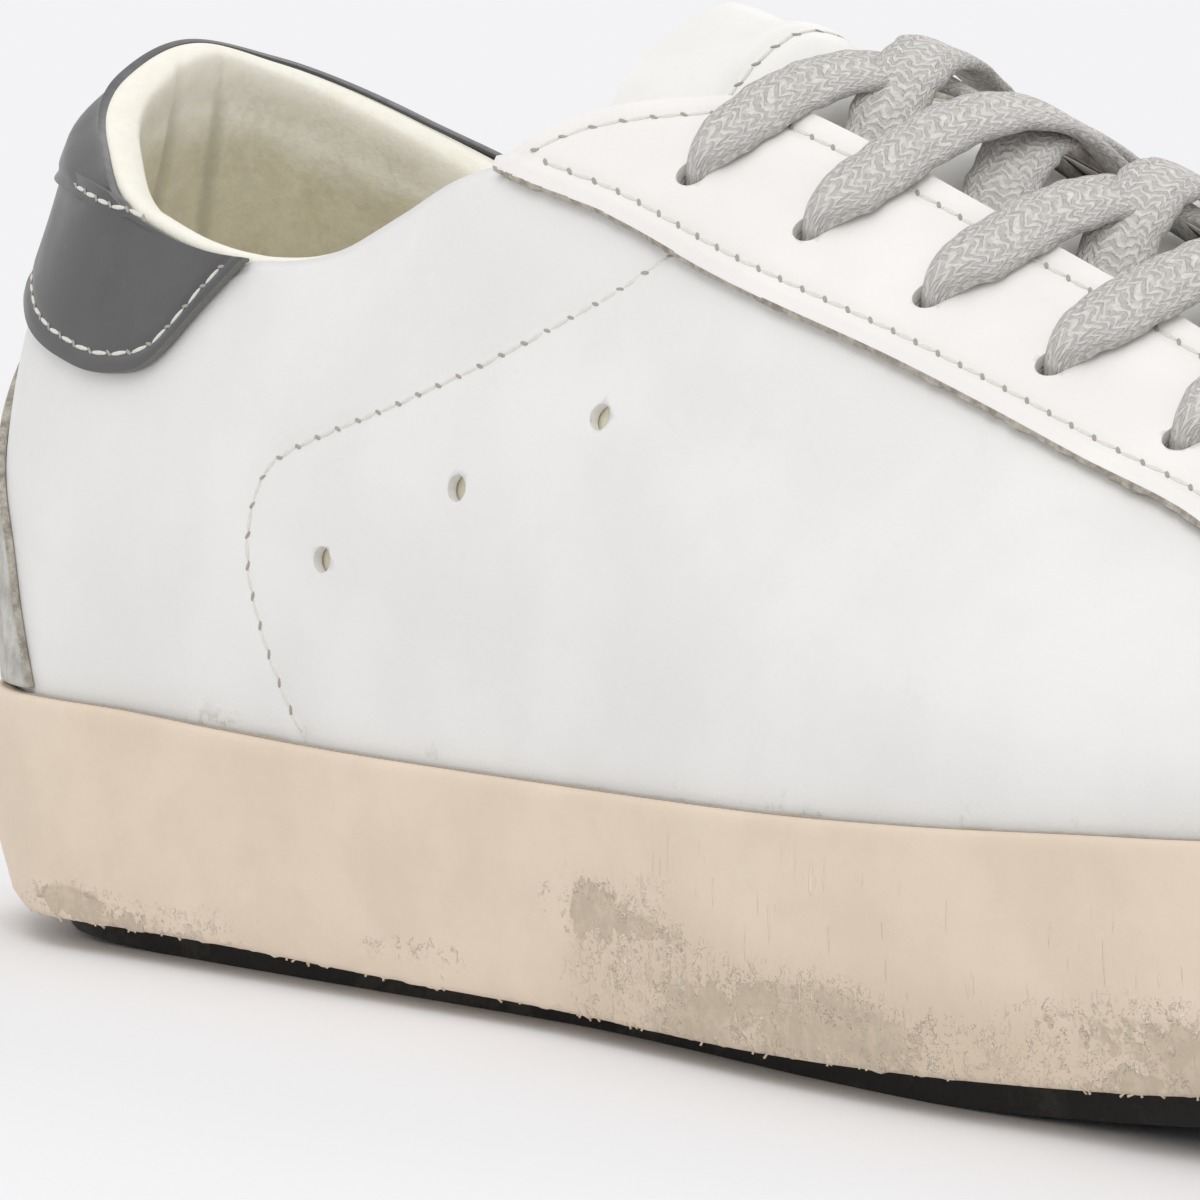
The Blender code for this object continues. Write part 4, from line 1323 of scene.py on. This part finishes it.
def tabLowerPoint(s, t):
    u = roundTo(s, sideAt(tab["lowerEndX"]))
    low = np.minimum(tabH(u), topH(u) - 0.003)
    high = np.minimum(seamH(u) + tab["overlap"] / climb(u, seamH(u)), topH(u))
    h = low + (high - low) * crowd(t, tab["gather"])
    fromLow = (h - low) * climb(u, low + 0.01)
    sewn = 0.1 * dent(fromLow, 1.1, 0.8) - tab["channel"] * dent(fromLow, tab["hem"], 0.7)
    return skinPoint(u, h, gap + tab["lowerOut"] + sewn)


def tabUpperPoint(s, t):
    u = roundTo(s, tab["upperEnd"])
    low = seamH(u)
    high = np.maximum(topH(u), low + 0.001)
    h = low + (high - low) * crowd(t, tab["gather"])
    fromLow, fromTop = ((h - low) * climb(u, low), (high - h) * climb(u, low))
    away = tab["upperOut"] + 0.5 * dent(fromTop, 9, 5) - tab["curl"] * curlAt(u) * ease((5 - fromTop) / 5)
    channel = -tab["channel"] * dent(fromLow, tab["seamHem"], 0.6)
    end = ease((tab["upperEnd"] - np.abs(u)) / 4)
    return skinPoint(u, h, gap + tab["lowerOut"] * (1 - end) + away * end + channel)


def buildTab():
    for name, columns, rows, place, rim, width, segments in tab["tiers"]:
        bm = gridMesh(columns, rows, place, flip=True)
        piece = finishPiece(name, bm, [tabLeather, rim], ["heel_tab"])
        solidify(piece, tab["thick"], 1)
        roundEdges(piece, width, segments)


tab["tiers"] = (
    # name, columns, rows, surface, rim, width and segments of the rounded edge
    ("tabLower", 300, 40, tabLowerPoint, tabEdge, 0.25, 2),
    ("tabUpper", 240, 30, tabUpperPoint, tabLeather, 0.4, 3),
)
buildTab()
print("heel tab built")


# suede back stay
patch = {
    # share of the height, half width
    "shape": ((0.0, 45.5), (0.2, 43.0), (0.44, 39.0), (0.63, 29.0), (0.82, 20.0), (1.0, 16.0)),
    "thick": 1.1,
    "edgeThin": 0.25,        # pressed thinner towards both sides
}


def patchPoint(s, t):
    share, half = np.array(patch["shape"]).T
    u = roundTo(s, smoothCurve(share, half, np.clip(t, 0, 1)))
    low = hAtHeight(u, joinZ(u) + 2 * gap)
    high = hAtHeight(u, tabZ(np.abs(u)) - 2 * gap)
    thick = patch["thick"] - patch["edgeThin"] * dent(1 - np.abs(s * 2 - 1), 0, 0.08)
    return skinPoint(u, low + (high - low) * t, gap + thick)


def buildPatch():
    bm = gridMesh(110, 64, patchPoint, flip=True)
    piece = finishPiece("heelPatch", bm, [patchSuede, edgeLeather], ["heel_patch"])
    solidify(piece, patch["thick"], 1)
    roundEdges(piece, 0.25)


buildPatch()
print("heel patch built")


# tongue
tongue = {
    "shape": (               # x, shift to the outer side, half width
        (103.4, 3.0, 18.0), (104.2, 3.0, 21.5), (107.0, 2.6, 24.5), (113.0, 2.0, 26.5), (130.0, 1.0, 26.5),
        (160.0, 0.6, 24.0), (190.0, 0.3, 21.0), (206.0, 0.0, 18.5), (229.0, 0.0, 13.0),
    ),
    "thick": 3.4,
    "freeX": 108.0,
    "slope": 0.36,
    "swell": 2.2,
    "swellEndX": 123.0,
    "under": 2.6,
    "sunk": 1.2,             # lower where the laces pass under the facing
    "archX": 115.0,          # stitched line across it
    "archBend": 2.0,
}


def tonguePoint(x, w, lift=0.0):
    # w runs from -1 to 1 across the tongue
    knots, shift, half = np.array(tongue["shape"]).T
    across = smoothCurve(knots, shift, x) + smoothCurve(knots, half, x) * w
    under = np.maximum(x, tongue["freeX"])
    edge = facingReach(np.minimum(sideAt(under), sideAt(last["throatStartX"])))
    swell = tongue["swell"] * ease((under - tongue["freeX"]) / 6) * ease((tongue["swellEndX"] - under) / 8)
    swell = swell * np.clip(1 - (across / edge) ** 2, 0, 1) ** 2
    sunk = tongue["sunk"] * ease((x - 120) / 10)
    u, h = instepStation(under, across)
    puckers = 0.35 * np.sin(x / 3.1 + w * 1.5) * dent(w, 0, 0.9) * ease((x - 124) / 6)
    base = lastPoint(u, h, swell - tongue["under"] - sunk + puckers + lift)
    return base + (x - under)[..., None] * np.array([1.0, 0.0, -tongue["slope"]])


def tongueSurface(s, t):
    start, end = tongue["shape"][0][0], tongue["shape"][-1][0]
    x = start + (end - start) * s ** 1.5
    w = t * 2 - 1
    return tonguePoint(x, w, -0.35 * dent(x - tongue["archBend"] * w ** 2, tongue["archX"], 0.8))


def buildTongue():
    bm = gridMesh(200, 60, tongueSurface, lambda s, t: (125 * s ** 1.5, 50 * t))
    piece = finishPiece("tongueLeather", bm, [tongueLeather, edgeLeather], ["tongue"])
    solidify(piece, tongue["thick"])
    roundEdges(piece, 1.1, 4)


buildTongue()
print("tongue built")


# laces: one flat braid, drawn as the straps that show
lace = {
    "width": 9.0,
    "thick": 1.9,
    "overrun": 1.25,         # each strap goes on under the facing, this many times its way to the edge
    "squareness": 2.7,       # power of the rounded section
    "farDrop": 0.4,          # the laces lie closer on the outer side
    "shares": (0.72, 0.72, 0.72, 0.72, 0.56),    # straps dive this share of the pitch ahead of their eyelet
    "edge": 11.7,            # distance across at which they dive under the facing
    "barRise": 2.75,         # the straight run stays this high between its ends
    # share of the way, height above the skin for the strap below and for the one on top
    "rise": (
        (0.0, -1.6, -1.6), (0.018, 0.4, 0.4), (0.04, 1.9, 1.9), (0.08, 2.6, 2.6), (0.15, 2.4, 2.5),
        (0.28, 2.3, 2.6), (0.45, 1.75, 2.95), (0.68, 0.25, 2.45), (0.82, -0.6, 1.2), (0.92, -1.5, -0.4),
        (1.0, -2.1, -1.6), (1.12, -2.6, -2.5), (1.25, -2.7, -2.7),
    ),
    # share of the way, share of the width, share of the thickness
    "body": (
        (0.0, 0.36, 1.7), (0.03, 0.46, 1.6), (0.07, 0.70, 1.35), (0.13, 0.93, 1.1), (0.22, 1.0, 1.0),
        (0.6, 1.0, 0.95), (0.95, 0.93, 0.9), (1.25, 0.75, 0.8),
    ),
}


def laceCentre(start, end, rise, share, barred):
    # the middle of a strap, and the skin's normal there
    sway = 0.5 * np.sin(share * 5 + start[0]) * ease(share / 0.2)
    x = start[0] + (end[0] - start[0]) * share + sway
    y = start[1] + (end[1] - start[1]) * share
    u, h = instepStation(x, y)
    fromEnd = np.minimum(share, 1 - share) if barred else share
    lift = smoothCurve([row[0] for row in lace["rise"]], rise, fromEnd)
    if barred:
        lift = np.where(fromEnd > 0.15, lace["barRise"], lift)
    lift = np.where(lift > 0, lift * (1 - lace["farDrop"] * ease(y / 12)), lift)
    return lastPoint(u, h, lift), lastNormal(u, h)


def unit(vectors):
    return vectors / np.linalg.norm(vectors, axis=-1, keepdims=True)


def lacePoint(start, end, rise, s, t, barred):
    steps, step = np.unique(np.round(s, 6), return_inverse=True)
    share = steps if barred else steps * lace["overrun"]
    centre, normal = laceCentre(start, end, rise, share, barred)
    ahead, _ = laceCentre(start, end, rise, share + 0.004, barred)
    behind, _ = laceCentre(start, end, rise, share - 0.004 * (share > 0.004), barred)
    run = np.array([end[0] - start[0], end[1] - start[1], 0.0])
    side = unit(np.cross(np.broadcast_to(run, normal.shape), normal))
    up = unit(np.cross(side, unit(ahead - behind)))
    centre, side, up, share = centre[step], side[step], up[step], share[step]
    at, widths, depths = np.array(lace["body"]).T
    fromEnd = np.minimum(share, 1 - share) if barred else share
    wide = lace["width"] * np.interp(fromEnd, at, widths) / 2
    thick = lace["thick"] * np.interp(fromEnd, at, depths) / 2
    a, b = (
        np.sign(wave) * np.abs(wave) ** (2 / lace["squareness"])
        for wave in (np.cos(2 * math.pi * t), np.sin(2 * math.pi * t))
    )
    wobble = 1 + 0.03 * np.sin(share * 47 + start[0]) + 0.02 * np.sin(share * 91 + start[1])
    groove = 1 - 0.12 * dent(a, 0, 0.25) * (np.abs(b) > 0.5)
    return centre + side * (a * wide * wobble)[..., None] + up * (b * thick * groove)[..., None]


def finishLace(name, straps, node, barred=False):
    bm = bmesh.new()
    for start, end, rise in straps:
        joinInto(bm, gridMesh(150, 36, lambda s, t: lacePoint(start, end, rise, s, t, barred),
                              lambda s, t: (45 * s, 12 * np.abs(t * 2 - 1)), closed=True))
    bmesh.ops.holes_fill(bm, edges=[edge for edge in bm.edges if edge.is_boundary])
    bmesh.ops.recalc_face_normals(bm, faces=bm.faces)
    finishPiece(name, bm, [laceCotton], [node])


def buildLaces():
    _, below, above = np.array(lace["rise"]).T
    reach, pitch = eyelets["reach"], eyelets["pitch"]
    for row, share in enumerate(lace["shares"]):
        x = eyelets["firstX"] + pitch * row
        inner, outer = (above, below) if row % 2 == 1 else (below, above)
        straps = (
            ((x, -reach), (x + pitch * share, lace["edge"]), inner),
            ((x, reach), (x + pitch * share, -lace["edge"]), outer),
        )
        finishLace(f"laceCross{row + 1}", straps, f"lace_cross_{row + 1}")
    x = eyelets["firstX"] + pitch * len(lace["shares"])
    finishLace("laceBar", [((x, -reach), (x + 0.01, reach), below)], "lace_bar", barred=True)


buildLaces()
print("laces built")


# stitches
stitch = {
    "pitch": 3.3,
    "size": (2.75, 0.55, 0.34),      # length, width, height
    "hole": (0.58, 0.22, 0.1),       # the same halves of a needle hole's dark oval, which is painted shade
    "slant": 0.10,
    "holeSlant": 0.75,
    "proud": 0.04,                   # above the channel it lies in
}


def addOval(bm, centre, along, up, halves, rounds):
    side = up.cross(along).normalized()
    turn = Matrix((up.cross(side) * -1, side, up)).transposed().to_4x4()
    bmesh.ops.create_uvsphere(bm, u_segments=rounds, v_segments=6, radius=1,
                              matrix=spot(centre) @ turn @ stretch(halves))


def sewRow(thread, holes, points, normals):
    # evenly spaced stitches along a dense row of points, with a dark oval between each two: the painted
    # shade of a needle hole
    steps = np.linalg.norm(np.diff(points, axis=0), axis=1)
    run = np.concatenate([[0], np.cumsum(steps)])
    count = max(int(run[-1] / stitch["pitch"]), 1)
    step = run[-1] / count

    def spotAt(at):
        centre, fore, aft, up = (
            np.array([np.interp(at + shift, run, values[:, i]) for i in range(3)])
            for values, shift in ((points, 0), (points, 0.4), (points, -0.4), (normals, 0))
        )
        return centre, Vector(fore - aft).normalized(), Vector(up).normalized()

    for first in range(0, count, batchSize):
        newThread, newHoleShades = bmesh.new(), bmesh.new()
        for k in range(first, min(first + batchSize, count)):
            centre, along, up = spotAt((k + 0.5) * step)
            lean = stitch["slant"] * (1 if k % 2 else 0.4)
            along = (along + up.cross(along) * lean).normalized()
            addOval(newThread, centre, along, up, [size / 2 for size in stitch["size"]], 8)
            centre, along, up = spotAt(k * step)
            along = (along - up.cross(along) * stitch["holeSlant"]).normalized()
            # a flat dark oval: painted shade of the needle hole
            addOval(newHoleShades, centre + np.array(up) * 0.05, along, up, stitch["hole"], 10)
        joinInto(thread, newThread)
        joinInto(holes, newHoleShades)


def sewPiece(name, rows):
    thread, holes = bmesh.new(), bmesh.new()
    for points, normals in rows:
        sewRow(thread, holes, points, normals)
    finishPiece(f"{name}Stitches", thread, [whiteThread])
    finishPiece(f"{name}HoleShades", holes, [needleHoleShade])


def skinRow(u, h, out):
    return skinPoint(u, h, out), lastNormal(u, h)


def panelSeams():
    out = gap + panel["thick"] - panel["channel"] + stitch["proud"]
    for side in (-1, 1):
        u = side * np.linspace(sideAt(106), toeAt(63), 400)
        yield skinRow(u, hAbove(u, panelH(u), panel["hem"]), out)
        u = side * np.linspace(sideAt(104), halfGirth, 400)
        yield skinRow(u, hBelow(u, topH(u), panel["throatHem"]), out)


def quarterSeams():
    station, height = np.array(seamLine).T
    run = np.linspace(0, len(station) - 1, 300)
    lineU, lineZ = (smoothCurve(np.arange(len(station)), values, run) for values in (station, height))
    for side in (-1, 1):
        yield skinRow(side * lineU, hAtHeight(side * lineU, lineZ), stitch["proud"] - upper["seamDepth"])


def tabSeams():
    sunk = stitch["proud"] - tab["channel"]
    end = sideAt(tab["lowerEndX"]) - 3.6
    u = np.linspace(-end, end, 500)
    yield skinRow(u, hAbove(u, tabH(u), tab["hem"]), gap + tab["lowerOut"] + sunk)
    end = tab["upperEnd"] - 3.5
    u = np.linspace(-end, end, 400)
    yield skinRow(u, seamH(u) + tab["seamHem"] / climb(u, seamH(u)), gap + tab["upperOut"] + sunk)


def tongueSeam():
    w = np.linspace(-0.62, 0.66, 120)
    x = tongue["archX"] + tongue["archBend"] * w ** 2
    along = tonguePoint(x + 0.5, w) - tonguePoint(x - 0.5, w)
    across = tonguePoint(x, w + 0.02) - tonguePoint(x, w - 0.02)
    return tonguePoint(x, w, -0.3), np.cross(along, across)


def buildStitches():
    sewPiece("panel", panelSeams())
    sewPiece("quarter", quarterSeams())
    sewPiece("tab", tabSeams())
    sewPiece("tongue", [tongueSeam()])


buildStitches()
print("stitches sewn")


# camera
view = {
    "place": (557.2, -554.05, 120.35),
    "turn": 48.16,           # degrees round from square on
    "down": 5.51,
    "roll": -0.34,
    "lens": 224.55,
}


def buildCamera():
    turn, down, roll = (math.radians(view[key]) for key in ("turn", "down", "roll"))
    back = Vector((math.sin(turn) * math.cos(down), -math.cos(turn) * math.cos(down), math.sin(down)))
    right = Vector((math.cos(turn), math.sin(turn), 0))
    up = back.cross(right)
    rolledRight = right * math.cos(roll) + up * math.sin(roll)
    rolledUp = up * math.cos(roll) - right * math.sin(roll)
    data = bpy.data.cameras.new("camera")
    data.lens = view["lens"]
    data.sensor_width = 36
    data.clip_start = 0.01
    camera = addObject("camera", data)
    matrix = Matrix((rolledRight, rolledUp, back)).transposed().to_4x4()
    matrix.translation = Vector(view["place"]) * mm
    camera.matrix_world = matrix
    bpy.context.scene.camera = camera


# studio: pale floor, soft lamps
studio = {
    "floor": (243, 243, 245),
    "floorSize": 4.0,
    "fade": (0.30, 0.75),    # metres from the middle over which the floor gives way to the backdrop
    "world": 0.74,
    "lamps": (
        # name, place in metres, size, watts
        ("keyLamp", (0.55, -0.75, 1.25), 1.0, 4.5),
        ("topLamp", (-0.15, -0.2, 1.3), 0.9, 1.7),
        ("backLamp", (-0.4, 1.1, 1.0), 0.9, 2.8),
    ),
    "aim": (0, 0, 0.05),
}


def buildFloor():
    bm = bmesh.new()
    bmesh.ops.create_grid(bm, x_segments=2, y_segments=2, size=studio["floorSize"])
    floor = addMesh("floor", bm)
    material, shader, place = startMaterial("paleFloor", 0.9)
    shader["Base Color"].default_value = srgb(*studio["floor"])
    away = addNode(place["Object"].tree, "ShaderNodeVectorMath", {0: place["Object"]}, operation="LENGTH")
    mapRange(away["Value"], *studio["fade"], 1.0, 0.0).to(shader["Alpha"])
    floor.data.materials.append(material)


def buildWorld():
    # the camera and mirror rays see the backdrop, and everything else is lit by the world
    world = bpy.data.worlds.new("studio")
    bpy.context.scene.world = world
    world.use_nodes = True
    tree = world.node_tree
    tree.nodes.clear()
    path = addNode(tree, "ShaderNodeLightPath")
    seen = path["Is Camera Ray"].math("MAXIMUM", path["Is Glossy Ray"])
    seen = seen.math("MAXIMUM", path["Is Transmission Ray"])
    light, backdrop = (
        addNode(tree, "ShaderNodeBackground", {"Color": colour, "Strength": strength})[0]
        for colour, strength in (((1, 1, 1, 1), studio["world"]), (srgb(*studio["floor"]), 1.0))
    )
    mix = addNode(tree, "ShaderNodeMixShader", {0: seen, 1: light, 2: backdrop})[0]
    addNode(tree, "ShaderNodeOutputWorld", {"Surface": mix})


def buildLamps():
    for name, place, size, watts in studio["lamps"]:
        data = bpy.data.lights.new(name, "AREA")
        data.shape = "DISK"
        data.size = size
        data.energy = watts
        turn = (Vector(studio["aim"]) - Vector(place)).to_track_quat("-Z", "Y").to_matrix().to_4x4()
        addObject(name, data).matrix_world = Matrix.Translation(Vector(place)) @ turn


buildCamera()
buildFloor()
buildWorld()
buildLamps()
bpy.context.scene.view_settings.view_transform = "Standard"
print("camera and studio set")
